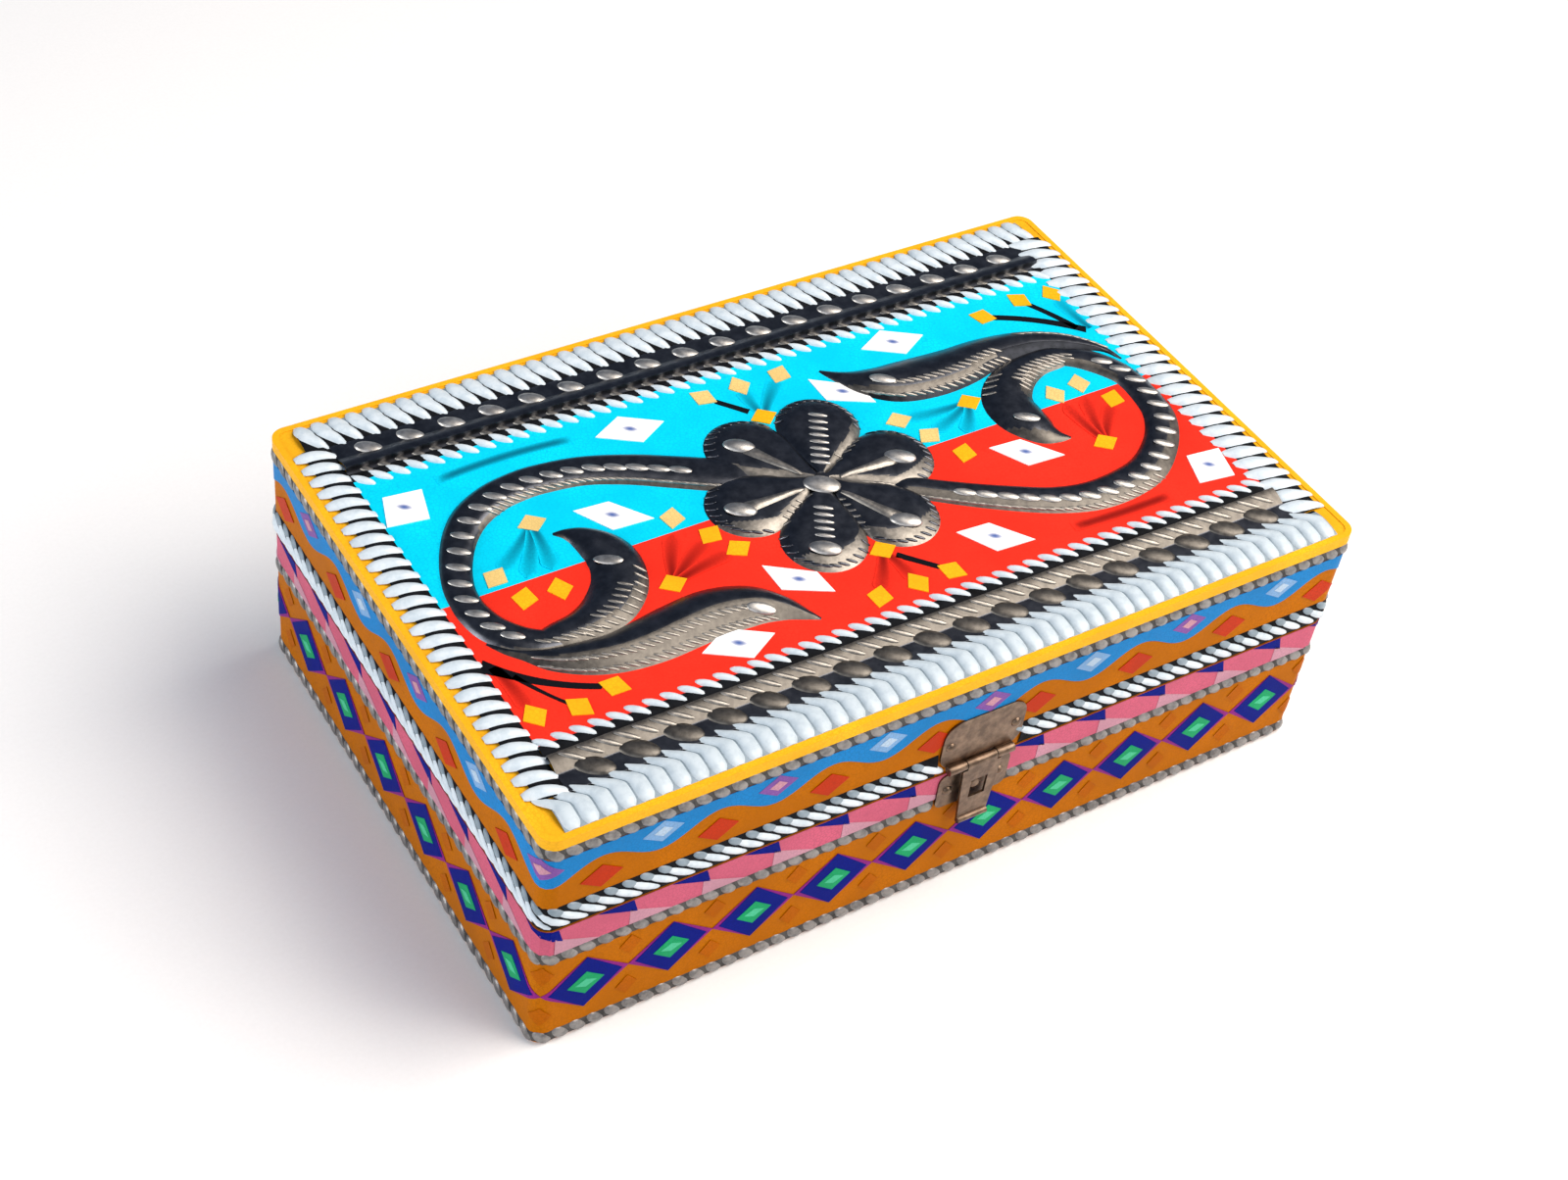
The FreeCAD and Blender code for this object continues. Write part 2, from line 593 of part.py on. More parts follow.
def make_hinges():
    """Both hinges with their nails."""
    lid_nails, base_nails = hinge_nail_places()
    for name, side in (("left", -1), ("right", 1)):
        lid_leaf, base_leaf, pin = hinge_pair(side * hinge_offset, lid_nails, base_nails)
        save(name + "_hinge_lid_leaf", lid_leaf)
        save(name + "_hinge_base_leaf", base_leaf)
        save(name + "_hinge_pin", pin)
    save("lid_hinge_nails", Part.makeCompound([nail(place, backward) for place in lid_nails]))
    save("base_hinge_nails", Part.makeCompound([nail(place, backward) for place in base_nails]))


os.makedirs("parts", exist_ok=True)
make_base()
make_lid()
make_top_bands()
make_field()
make_hasp()
make_hinges()
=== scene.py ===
# %% [markdown]
# # A tin-clad keepsake box
# The imported model gives every board, plate and hinge at its real size. This lesson dresses it: ribbed
# piping, pressed steel ornament, cut tapes and a bronze hasp are modelled round that fixed frame, in
# metres, and nothing in the frame is ever moved.

# %% Load the frame
import math

import bpy
from mathutils import Matrix, Vector


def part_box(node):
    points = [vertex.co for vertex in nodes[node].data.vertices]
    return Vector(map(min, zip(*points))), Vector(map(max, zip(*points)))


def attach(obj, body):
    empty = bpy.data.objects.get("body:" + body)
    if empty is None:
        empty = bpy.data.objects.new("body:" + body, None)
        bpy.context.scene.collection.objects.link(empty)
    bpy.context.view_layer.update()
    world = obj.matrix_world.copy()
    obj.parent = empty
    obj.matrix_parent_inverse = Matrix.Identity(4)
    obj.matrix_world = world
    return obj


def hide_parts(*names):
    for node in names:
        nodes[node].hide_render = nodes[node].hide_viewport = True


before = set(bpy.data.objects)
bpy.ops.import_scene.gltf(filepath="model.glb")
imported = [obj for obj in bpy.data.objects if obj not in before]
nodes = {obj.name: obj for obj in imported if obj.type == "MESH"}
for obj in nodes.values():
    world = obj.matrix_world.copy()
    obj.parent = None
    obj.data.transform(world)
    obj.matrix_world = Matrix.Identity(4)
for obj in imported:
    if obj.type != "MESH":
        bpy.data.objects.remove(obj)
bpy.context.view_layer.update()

# %% [markdown]
# An operator works on whatever is selected, and the import leaves every node selected. These few helpers
# clear the selection, step into edit mode, apply a modifier and hand a finished piece over to its body.

# %% Helpers for working by operator
def only(*pieces):
    """Select just these pieces and make the last one active."""
    bpy.ops.object.select_all(action="DESELECT")
    for piece in pieces:
        piece.select_set(True)
    bpy.context.view_layer.objects.active = pieces[-1]


def start_edit(piece, action="SELECT"):
    """Open a piece in edit mode with all or none of it selected."""
    only(piece)
    bpy.ops.object.mode_set(mode="EDIT")
    bpy.ops.mesh.select_all(action=action)


def end_edit():
    """Go back to object mode."""
    bpy.ops.object.mode_set(mode="OBJECT")


def apply(piece, kind, **settings):
    """Add a modifier with these settings and apply it."""
    only(piece)
    modifier = piece.modifiers.new(kind.title(), kind)
    for key, value in settings.items():
        setattr(modifier, key, value)
    bpy.ops.object.modifier_apply(modifier=modifier.name)


def join(name, pieces):
    """Join pieces into one object with a name of its own."""
    only(*pieces)
    if len(pieces) > 1:
        bpy.ops.object.join()
    bpy.context.object.name = name
    return bpy.context.object


def smooth(piece, degrees=38):
    """Shade rounded faces smooth and keep the real edges crisp."""
    only(piece)
    bpy.ops.object.shade_smooth_by_angle(angle=math.radians(degrees))


def dress(piece, material):
    """Give a piece one material."""
    piece.data.materials.clear()
    piece.data.materials.append(material)


def keep(piece, body, slot=None, *stands_for):
    """Hand a finished piece over: the body it rides on and the nodes it stands for; the slot is not used."""
    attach(piece, body)
    if stands_for:
        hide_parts(*stands_for)
    print(piece.name, len(piece.data.polygons), "faces on", body)


# %% [markdown]
# Most of the trim is a thin surface that follows a rule: a petal, a wave of tape, a band along a curve. A
# grid primitive gives the points, and the rule puts each of them in place. Closing the open edge then
# makes it a solid.

# %% Helpers that shape a grid
def surface(name, columns, rows, place):
    """A grid whose points go where place(u, v) says, with u and v running from 0 to 1."""
    bpy.ops.object.select_all(action="DESELECT")
    bpy.ops.mesh.primitive_grid_add(x_subdivisions=columns, y_subdivisions=rows, size=1)
    piece = bpy.context.object
    piece.name = name
    for vertex in piece.data.vertices:
        vertex.co = place(vertex.co.x + 0.5, vertex.co.y + 0.5)
    return piece


def close(piece):
    """Merge doubled points, fill what is open and turn every face outwards."""
    start_edit(piece)
    bpy.ops.mesh.remove_doubles(threshold=0.00002)
    bpy.ops.mesh.fill_holes(sides=0)
    bpy.ops.mesh.normals_make_consistent(inside=False)
    end_edit()


def half_bead(name, length, width, height, segments=10, rings=8):
    """Half of a stretched ball: its long way along X, its flat side on z = 0."""
    bpy.ops.object.select_all(action="DESELECT")
    bpy.ops.mesh.primitive_uv_sphere_add(segments=segments, ring_count=rings, radius=0.5)
    piece = bpy.context.object
    piece.name = name
    start_edit(piece)
    bpy.ops.transform.rotate(value=math.pi / 2, orient_axis="Y", center_override=(0, 0, 0))
    bpy.ops.transform.resize(value=(length, width, 2 * height), center_override=(0, 0, 0))
    bpy.ops.mesh.bisect(plane_co=(0, 0, 0), plane_no=(0, 0, 1), use_fill=True, clear_inner=True)
    end_edit()
    return piece


def copies(name, template, places):
    """One object made of copies of a template, each with its own mesh, at the given matrices."""
    made = []
    for place in places:
        copy = bpy.data.objects.new(name, template.data.copy())
        copy.data.transform(place)
        bpy.context.collection.objects.link(copy)
        made.append(copy)
    bpy.data.objects.remove(template)
    return join(name, made)


def turned_copy(name, piece, degrees=180):
    """A copy with its own mesh, turned about the upright axis through the origin."""
    copy = bpy.data.objects.new(name, piece.data.copy())
    copy.data.transform(Matrix.Rotation(math.radians(degrees), 4, "Z"))
    bpy.context.collection.objects.link(copy)
    return copy


# %% [markdown]
# Colours are written as they look on screen, as sRGB hex, and turned to the linear values that the
# renderer mixes. One function adds a node: plain values go on its sockets, and other nodes' outputs are
# linked to them.

# %% Helpers for materials
def linear(code, share=1.0):
    """Linear colour of an sRGB hex code, made lighter or darker by a share."""
    channels = [int(code[i:i + 2], 16) / 255 for i in (1, 3, 5)]
    mixed = [c / 12.92 if c <= 0.04045 else ((c + 0.055) / 1.055) ** 2.4 for c in channels]
    return (*[min(1.0, c * share) for c in mixed], 1.0)


def add(tree, kind, inputs=None, **settings):
    """Add a shader node with its settings, values and links."""
    node = tree.nodes.new("ShaderNode" + kind)
    for key, value in settings.items():
        setattr(node, key, value)
    for key, value in (inputs or {}).items():
        if isinstance(value, bpy.types.NodeSocket):
            tree.links.new(value, node.inputs[key])
        else:
            node.inputs[key].default_value = value
    return node


def new_material(name):
    """An empty material's tree and its Object coordinates."""
    material = bpy.data.materials.new(name)
    material.use_nodes = True
    material.node_tree.nodes.clear()
    return material, material.node_tree, add(material.node_tree, "TexCoord").outputs["Object"]


def finish_material(tree, inputs):
    """End a tree with one shader and the material output."""
    shader = add(tree, "BsdfPrincipled", inputs)
    add(tree, "OutputMaterial", {"Surface": shader.outputs[0]})


# %% [markdown]
# ## Reflective vinyl film
# The bright colours are self-adhesive reflective vinyl, cast in rolls over a fine honeycomb of cells. The
# eye gets a strong even colour, a faint mesh, and a slight unevenness where it was rubbed down by hand. An
# image could carry all that, but a pattern worked out from the size of a cell stays sharp at any distance.
# The film mirrors little in soft light, so its shine is set low.

# %% Vinyl film and tape
film_cell = 0.0011
film_mottle = 0.014
film_ripple = 0.006


def vinyl(name, code, gloss=0.30, shine=0.05, depth=0.14, fold=None):
    """Reflective vinyl: honeycomb cells, hand-rubbed ripples, and a second colour by a fold attribute, used
    for painted shade along folds and for blue ink.
    """
    material, tree, place = new_material(name)
    cells = add(tree, "TexVoronoi", {"Vector": place, "Scale": 1 / film_cell}, feature="DISTANCE_TO_EDGE")
    mesh = add(tree, "MapRange", {"Value": cells.outputs[0], "From Max": 0.12})
    mottle = add(tree, "TexNoise", {"Vector": place, "Scale": 1 / film_mottle, "Detail": 5.0})
    ripple = add(tree, "TexNoise", {"Vector": place, "Scale": 1 / film_ripple, "Detail": 2.0})
    shade = add(tree, "MapRange", {"Value": mottle.outputs[0], "From Min": 0.35, "From Max": 0.7})
    dark, light, seam = [linear(code, 1 + change * depth) for change in (-1.0, 0.4, -1.4)]
    colour = add(tree, "Mix", {0: shade.outputs[0], 6: dark, 7: light}, data_type="RGBA")
    meshed = add(tree, "Mix", {0: mesh.outputs[0], 6: seam, 7: colour.outputs[2]}, data_type="RGBA")
    if fold:
        shade_and_ink = add(tree, "Attribute", attribute_name="fold")
        meshed = add(tree, "Mix", {0: shade_and_ink.outputs["Fac"], 6: meshed.outputs[2], 7: linear(fold)},
                     data_type="RGBA")
    rough = add(tree, "MapRange", {"Value": mottle.outputs[0], "To Min": gloss, "To Max": gloss + 0.22})
    fine = add(tree, "Bump", {"Height": mesh.outputs[0], "Strength": 0.12, "Distance": 0.00004})
    wavy = add(tree, "Bump", {"Height": ripple.outputs[0], "Strength": 0.25, "Distance": 0.00025,
                              "Normal": fine.outputs[0]})
    finish_material(tree, {"Base Color": meshed.outputs[2], "Roughness": rough.outputs[0],
                           "Specular IOR Level": shine, "Normal": wavy.outputs[0]})
    return material


# The walls' orange is the golden orange tape of the lid's edge made darker: painted shade on the walls,
# which face away from the light above.
orange_vinyl = vinyl("orange_vinyl", "#BC6A02", shine=0.02)
binding_vinyl = vinyl("golden_orange_vinyl", "#FFB922")
cyan_vinyl = vinyl("cyan_vinyl", "#05D8FC")
red_vinyl = vinyl("red_vinyl", "#FC3524")
blue_vinyl = vinyl("blue_vinyl", "#1580C4")
pale_vinyl = vinyl("pale_blue_vinyl", "#7FA9D4")
purple_vinyl = vinyl("purple_vinyl", "#8456A0")
ruby_vinyl = vinyl("ruby_orange_vinyl", "#C03206")
pink_vinyl = vinyl("pink_vinyl", "#CE607A")
blush_vinyl = vinyl("blush_vinyl", "#C892A2")
mist_vinyl = vinyl("mist_blue_vinyl", "#B6CCE0")
navy_vinyl = vinyl("navy_vinyl", "#06187E", shine=0.02)
green_vinyl = vinyl("green_vinyl", "#12A064")
mint_vinyl = vinyl("mint_vinyl", "#4CC494")
magenta_vinyl = vinyl("magenta_vinyl", "#8C1F7E")
amber_vinyl = vinyl("dark_amber_vinyl", "#B65F02", shine=0.02)
white_vinyl = vinyl("white_vinyl", "#FFFFFF", depth=0.03)
yellow_vinyl = vinyl("yellow_vinyl", "#FFB71C")
straw_vinyl = vinyl("straw_yellow_vinyl", "#EDCB80")
black_vinyl = vinyl("black_vinyl", "#15171C")
# The two creased films darken along their folds and grooves: painted shade. The dashed white takes blue ink
# the same way.
fold_shaded_cyan = vinyl("creased_cyan_vinyl", "#05D8FC", fold="#04536E")
fold_shaded_red = vinyl("creased_red_vinyl", "#FC3524", fold="#6E0F0C")
dashed_white = vinyl("dashed_white_vinyl", "#FFFFFF", depth=0.03, fold="#1F4FA0")

# %% [markdown]
# ## White piping, silver cord and their beds
# The ribs are folded satin ribbon, white with a cold blue cast in its folds. The narrow cords round the
# walls are the same ribbon with a metallised face, which reads grey. A bed under the ribs shows between
# them, grey under the cords and nearly black under the rest: its colour is painted shade in the gaps. The
# same ribbon in grey is painted shade too, and the front border's ribbon is a darker copy of the white,
# painted shade on that border. The threads are drawn coarser than they are, so that they show.

# %% Ribbon materials
stain_size = 0.003
thread_gap = 0.0005


def ribbon(name, bright_code, dull_code, metallic, rough_low, rough_high, coat=0.2, shine=0.5):
    """Folded ribbon: fine thread lines, soft staining and a satin gloss."""
    material, tree, place = new_material(name)
    stain = add(tree, "TexNoise", {"Vector": place, "Scale": 1 / stain_size, "Detail": 6.0,
                                   "Roughness": 0.65})
    thread = add(tree, "TexNoise", {"Vector": place, "Scale": 1 / thread_gap, "Detail": 2.0})
    shade = add(tree, "MapRange", {"Value": stain.outputs[0], "From Min": 0.42, "From Max": 0.66})
    colour = add(tree, "Mix", {0: shade.outputs[0], 6: linear(bright_code), 7: linear(dull_code)},
                 data_type="RGBA")
    rough = add(tree, "MapRange", {"Value": stain.outputs[0], "To Min": rough_low, "To Max": rough_high})
    bump = add(tree, "Bump", {"Height": thread.outputs[0], "Strength": 0.3, "Distance": 0.00006})
    finish_material(tree, {"Base Color": colour.outputs[2], "Metallic": metallic,
                           "Roughness": rough.outputs[0], "Specular IOR Level": shine,
                           "Coat Weight": coat, "Coat Roughness": 0.2, "Normal": bump.outputs[0]})
    return material


white_ribbon = ribbon("white_satin_ribbon", "#DAE4EA", "#C4D2DB", 0.0, 0.30, 0.50)
# The front border's ribbon is the white one made darker: painted shade on that border.
front_shaded_ribbon = ribbon("white_pleated_ribbon", "#CBD7DE", "#B8C6CF", 0.0, 0.34, 0.52)
# Grey ribbon: painted shade in the grooves of the borders and on the far side of the rope's twist.
shade_ribbon = ribbon("grey_satin_ribbon", "#8798A4", "#74858F", 0.0, 0.35, 0.55)
silver_ribbon = ribbon("silver_lurex_ribbon", "#8B8885", "#5C5B5B", 0.45, 0.30, 0.50)
# The two beds show between the ribs; their grey and black are painted shade in the gaps.
grey_bed = ribbon("grey_backing_tape", "#565452", "#3A3938", 0.0, 0.60, 0.80, coat=0.0, shine=0.1)
dark_bed = ribbon("black_backing_tape", "#14161B", "#090A0C", 0.0, 0.60, 0.80, coat=0.0, shine=0.08)

# %% [markdown]
# ## Steel, tin and bronze
# The flower and scrolls are pressed from thin blued steel. It is a mirror gone dark: flat parts show the
# dim room and look almost black, while each slope that faces a lamp flashes grey. Points that stand proud
# are rubbed to bright tin. The hasp and hinges are plated in antique bronze, brown in the hollows and
# worn pale where hands touch it.

# %% Metals
def metal(name, low_code, high_code, rough_low, rough_high, grain, dent):
    """Sheet metal: two tones of finish, uneven gloss, and the small dents of hand work."""
    material, tree, place = new_material(name)
    patina = add(tree, "TexNoise", {"Vector": place, "Scale": 1 / grain, "Detail": 6.0, "Roughness": 0.6})
    hammer = add(tree, "TexNoise", {"Vector": place, "Scale": 1 / (2 * grain), "Detail": 1.0})
    shade = add(tree, "MapRange", {"Value": patina.outputs[0], "From Min": 0.38, "From Max": 0.68})
    colour = add(tree, "Mix", {0: shade.outputs[0], 6: linear(low_code), 7: linear(high_code)},
                 data_type="RGBA")
    rough = add(tree, "MapRange", {"Value": patina.outputs[0], "To Min": rough_low, "To Max": rough_high})
    bump = add(tree, "Bump", {"Height": hammer.outputs[0], "Strength": 0.5, "Distance": dent})
    finish_material(tree, {"Base Color": colour.outputs[2], "Metallic": 1.0, "Roughness": rough.outputs[0],
                           "Normal": bump.outputs[0]})
    return material


blued_steel = metal("blued_steel_sheet", "#4E5056", "#63656B", 0.24, 0.38, 0.003, 0.00012)
bright_tin = metal("bright_tin", "#B4B0AA", "#DAD7D1", 0.34, 0.52, 0.002, 0.00006)
worn_tin = metal("worn_tin", "#8C8780", "#B2ACA3", 0.36, 0.52, 0.0016, 0.00010)
# The next three stand in for light: the first two are painted reflection on slopes that face the front, and
# the front band's bosses take the first as painted shade; the third is painted shade where the sheet should
# mirror the dark.
rubbed_steel = metal("rubbed_steel", "#5E5A55", "#77726B", 0.36, 0.52, 0.0016, 0.00010)
polished_steel = metal("polished_steel", "#7E7972", "#A09A91", 0.34, 0.50, 0.0016, 0.00010)
sooted_steel = metal("sooted_steel", "#222428", "#303238", 0.34, 0.50, 0.0020, 0.00012)
antique_bronze = metal("antique_bronze_plate", "#5E4E42", "#8A7563", 0.28, 0.44, 0.0025, 0.00006)

# %% [markdown]
# ## Pine and flock
# Inside, the boards are sanded pine with narrow growth rings, and the cards are flocked: short upright
# fibres that scatter light at grazing angles, so the velvet looks paler at its edges and shows stroke
# marks. Pores and fibres are drawn coarser than they are, so that they show.

# %% Wood and flock
ring_width = 0.0045
ring_warp = 0.03
pore_gap = 0.0006
stroke_mark = 0.018
flock_fibre = 0.0004


def pine(name, stretch):
    """Sanded pine: long rings along the board, fine pores and a dry matt surface."""
    material, tree, place = new_material(name)
    along = add(tree, "Mapping", {"Vector": place, "Scale": stretch}).outputs[0]
    warp = add(tree, "TexNoise", {"Vector": along, "Scale": 1 / ring_warp, "Detail": 3.0})
    rings = add(tree, "TexWave", {"Vector": along, "Scale": 0.5 / ring_width, "Distortion": 6.0,
                                  "Detail": 2.0}, bands_direction="DIAGONAL")
    pores = add(tree, "TexNoise", {"Vector": along, "Scale": 1 / pore_gap, "Detail": 2.0})
    grain = add(tree, "Math", {0: rings.outputs["Fac"], 1: warp.outputs[0]}, operation="MULTIPLY")
    colour = add(tree, "Mix", {0: grain.outputs[0], 6: linear("#DDBB87"), 7: linear("#A9743F")},
                 data_type="RGBA")
    bump = add(tree, "Bump", {"Height": pores.outputs[0], "Strength": 0.35, "Distance": 0.00008})
    rough = add(tree, "MapRange", {"Value": pores.outputs[0], "To Min": 0.55, "To Max": 0.8})
    finish_material(tree, {"Base Color": colour.outputs[2], "Roughness": rough.outputs[0],
                           "Normal": bump.outputs[0]})
    return material


def flock():
    """Wine-red velvet flock on card: stroked patches, fine fibres and a soft sheen."""
    material, tree, place = new_material("wine_red_flock")
    stroke = add(tree, "TexNoise", {"Vector": place, "Scale": 1 / stroke_mark, "Detail": 3.0})
    fibre = add(tree, "TexNoise", {"Vector": place, "Scale": 1 / flock_fibre, "Detail": 2.0})
    both = add(tree, "Math", {0: stroke.outputs[0], 1: fibre.outputs[0]}, operation="MULTIPLY")
    shade = add(tree, "MapRange", {"Value": both.outputs[0], "From Min": 0.10, "From Max": 0.42})
    colour = add(tree, "Mix", {0: shade.outputs[0], 6: linear("#5A0A16"), 7: linear("#861524")},
                 data_type="RGBA")
    bump = add(tree, "Bump", {"Height": fibre.outputs[0], "Strength": 0.7, "Distance": 0.0003})
    finish_material(tree, {"Base Color": colour.outputs[2], "Roughness": 0.92, "Sheen Weight": 0.8,
                           "Sheen Roughness": 0.4, "Sheen Tint": linear("#D8607A"),
                           "Normal": bump.outputs[0]})
    return material


long_pine = pine("pine_along_the_front", (0.06, 1.0, 1.0))
side_pine = pine("pine_along_the_side", (1.0, 0.06, 1.0))
red_flock = flock()

# %% [markdown]
# ## Carried-over nodes
# Boards, cards, skins and films already have the right shape in the frame, so they only take a finish.
# The hasp, catch and hinges also get a fine bevel, because a worn edge catches the light. Their meshes are
# loose triangles, so a Weld modifier joins them first.

# %% Dress the frame's own nodes
for name, node in nodes.items():
    if name.endswith("_lining"):
        dress(node, red_flock)
    elif name.endswith(("_wall", "_rim", "_board", "_floor")):
        dress(node, side_pine if "_left_" in name or "_right_" in name else long_pine)
    elif "hinge" in name or name.startswith(("hasp", "catch")):
        dress(node, antique_bronze)
        node.modifiers.new("Weld", "WELD").merge_threshold = 0.000002
        edges = node.modifiers.new("Bevel", "BEVEL")
        edges.width = 0.00016
        edges.segments = 2
        edges.limit_method = "ANGLE"
        edges.angle_limit = math.radians(40)
for name, material in (
        ("base_skin", orange_vinyl), ("lid_skin", orange_vinyl), ("top_sheet", binding_vinyl),
        ("edge_binding", binding_vinyl), ("cyan_field", cyan_vinyl), ("red_field", red_vinyl),
        ("lozenges", white_vinyl), ("tabs", yellow_vinyl)):
    dress(nodes[name], material)
print("dressed", len(nodes), "nodes of the frame")

# %% [markdown]
# The yellow tabs are of two yellows. All those on the red are bright, and so are the three in the far
# right corner and two at the roots of their fans. The others are a pale straw colour, so their faces take
# a second material.

# %% Two yellows
tab_reach = 0.0045
bright_corner = (0.075, 0.030)
bright_roots = [(0.0, 0.0286), (0.0546, 0.0106)]
nodes["tabs"].data.materials.append(straw_vinyl)
for face in nodes["tabs"].data.polygons:
    spot = face.center
    at_root = min((spot - Vector((x, y, spot.z))).length for x, y in bright_roots) < tab_reach
    in_corner = spot.x > bright_corner[0] and spot.y > bright_corner[1]
    face.material_index = 0 if spot.y < 0 or at_root or in_corner else 1
print("bright faces:", sum(face.material_index == 0 for face in nodes["tabs"].data.polygons))

# %% [markdown]
# ## Going round the walls
# Every band on the walls is modelled flat, as if it were all on the front wall: X runs along it, Z is up,
# and -Y stands out from the wall. A Curve modifier then bends the strip round the box. Each small piece
# could be turned to its own wall instead, but bent in a strip it also follows the round corners. The curve
# starts in the middle of the back, so the middle of the front lies half its length along.

# %% The line round the box
skin_low, skin_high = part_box("base_skin")
corner_radius = 0.004
corner_steps = 12


def make_wall_line():
    """Closed line round the skin, from the middle of the back by the left, front and right walls."""
    reach_x = skin_high.x - corner_radius
    reach_y = skin_high.y - corner_radius
    points = [Vector((0, skin_high.y, 0))]
    for corner_x, corner_y, first in ((-reach_x, reach_y, 90), (-reach_x, -reach_y, 180),
                                      (reach_x, -reach_y, 270), (reach_x, reach_y, 0)):
        for step in range(corner_steps + 1):
            angle = math.radians(first + 90 * step / corner_steps)
            points.append(Vector((corner_x + corner_radius * math.cos(angle),
                                  corner_y + corner_radius * math.sin(angle), 0)))
    line = bpy.data.curves.new("wall_line", "CURVE")
    line.dimensions = "3D"
    spline = line.splines.new("POLY")
    spline.points.add(len(points) - 1)
    for point, place in zip(spline.points, points):
        point.co = (*place, 1)
    spline.use_cyclic_u = True
    length = sum((b - a).length for a, b in zip(points, points[1:] + points[:1]))
    wall_line = bpy.data.objects.new("wall_line", line)
    bpy.context.collection.objects.link(wall_line)
    return wall_line, length


wall_line, wall_length = make_wall_line()
front_middle = wall_length / 2
print("line round the walls:", round(wall_length, 4), "m")


def row(piece, count, pitch):
    """Repeat a piece along X."""
    apply(piece, "ARRAY", count=count, use_relative_offset=False, use_constant_offset=True,
          constant_offset_displace=(pitch, 0, 0), use_merge_vertices=True, merge_threshold=0.00001)


def wrap(piece):
    """Bend a flat strip round the walls."""
    apply(piece, "CURVE", object=wall_line, deform_axis="POS_X")


def shift(piece, x=0.0, y=0.0, z=0.0):
    """Move a piece's mesh and leave its object at the origin."""
    piece.data.transform(Matrix.Translation((x, y, z)))


# %% [markdown]
# ## Cut tapes on the walls
# Each motif is a small piece of vinyl cut to shape. It is modelled once as a grid that is fine enough to
# bend at the corners, repeated by an Array modifier, bent round, and given the tape's thickness by
# Solidify. A picture of the motifs on the skin would be quicker, but it would lack the raised edges.

# %% Helpers for tapes
tape_thickness = 0.00012
layer_step = 0.0001


def tape_row(piece, count, pitch, first, layer, material):
    """Repeat a flat cut-out along the walls as a layer of tape."""
    shift(piece, x=first, y=-layer * layer_step)
    row(piece, count, pitch)
    wrap(piece)
    apply(piece, "SOLIDIFY", thickness=tape_thickness, offset=1.0)
    dress(piece, material)
    return piece


def tape(piece, count, first, layer, material):
    """Repeat a flat cut-out in a closed ring round the walls."""
    pitch = wall_length / count
    return tape_row(piece, count, pitch, first % pitch, layer, material)


def diamond(name, width, height, level, cells=10):
    """Upright diamond on the front wall, its middle at x = 0."""
    def place(u, v):
        return Vector(((u - v) * width / 2, 0, level + (u + v - 1) * height / 2))
    return surface(name, cells, cells, place)


def band(name, length, bottom, top, cells=8):
    """One length of a straight band."""
    return surface(name, cells, 2, lambda u, v: Vector((u * length, 0, bottom + v * (top - bottom))))


# %% [markdown]
# ### The blue wave
# Below the lid's edge lies a blue tape with a wavy lower side, and the orange skin shows under it. Pale
# and purple patches, each with a lighter heart, take turns where the blue is broad. Ruby diamonds fill
# the orange under the crests. Patches go to every second wave and the count of waves is odd, so they are
# laid as one open row and not as a closed ring.

# %% The blue wave with its patches
wave_count = 25
wave_pitch = wall_length / wave_count
wave_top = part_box("lid_upper_cord")[0].z
wave_crest = 0.0652
wave_trough = 0.0592
crest_x = -0.105


def blue_wave(u, v):
    """Lower edge of the blue: high at the wave's ends, low in its middle."""
    swing = (wave_crest - wave_trough) / 2
    edge = (wave_crest + wave_trough) / 2 + swing * math.cos(2 * math.pi * u)
    return Vector((u * wave_pitch, 0, edge + v * (wave_top - edge)))


first_crest = front_middle + crest_x
keep(tape(surface("wave_tape", 20, 3, blue_wave), wave_count, first_crest, 1, blue_vinyl), "lid")

patch_pitch = 2 * wave_pitch
patch_level = 0.0655
patch_width = 0.011
patch_height = 0.0072
heart_share = 0.45
for name, steps, outer, inner in (("pale_patches", 0.5, pale_vinyl, mist_vinyl),
                                  ("purple_patches", 1.5, purple_vinyl, blush_vinyl)):
    for kind, share, layer, material in (("", 1.0, 2, outer), ("_hearts", heart_share, 3, inner)):
        piece = diamond(name + kind, patch_width * share, patch_height * share, patch_level, 6)
        first = (first_crest + steps * wave_pitch) % patch_pitch
        count = int((wall_length - first) / patch_pitch) + 1
        keep(tape_row(piece, count, patch_pitch, first, layer, material), "lid")

ruby_level = 0.0578
ruby_width = 0.0112
ruby_height = 0.0078
rubies = diamond("ruby_diamonds", ruby_width, ruby_height, ruby_level, 6)
keep(tape(rubies, wave_count, first_crest, 1, ruby_vinyl), "lid")

# %% [markdown]
# ### The pink band
# Between the lid and the middle cord runs a pink tape. Navy triangles hang from its top and blush ones
# stand on its lower edge, all leaning the same way, so that the pink left between them looks like a
# slanted ribbon. A tooth is a grid with one side drawn to a point, which leaves it enough points to bend at
# a corner.

# %% The pink band with its navy and blush teeth
tooth_count = 39
tooth_pitch = wall_length / tooth_count
pink_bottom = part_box("base_middle_cord")[1].z
edge_gap = 0.00005
pink_top = skin_high.z - edge_gap
tooth_lean = 0.006
first_tooth = 0.0095
hanging_width = 0.0095
hanging_clear = 0.0042
standing_width = 0.012
standing_height = 0.0056


def hanging_tooth(u, v):
    """Triangle that hangs from the band's top and leans to the right."""
    bottom = pink_bottom + hanging_clear
    across = (u - 0.5) * hanging_width * v
    return Vector((tooth_lean * (1 - v) + across, 0, bottom + v * (pink_top - bottom)))


def standing_tooth(u, v):
    """Triangle that stands on the band's lower edge and leans to the left."""
    across = (u - 0.5) * standing_width * (1 - v)
    return Vector((-tooth_lean * v + across, 0, pink_bottom + v * standing_height))


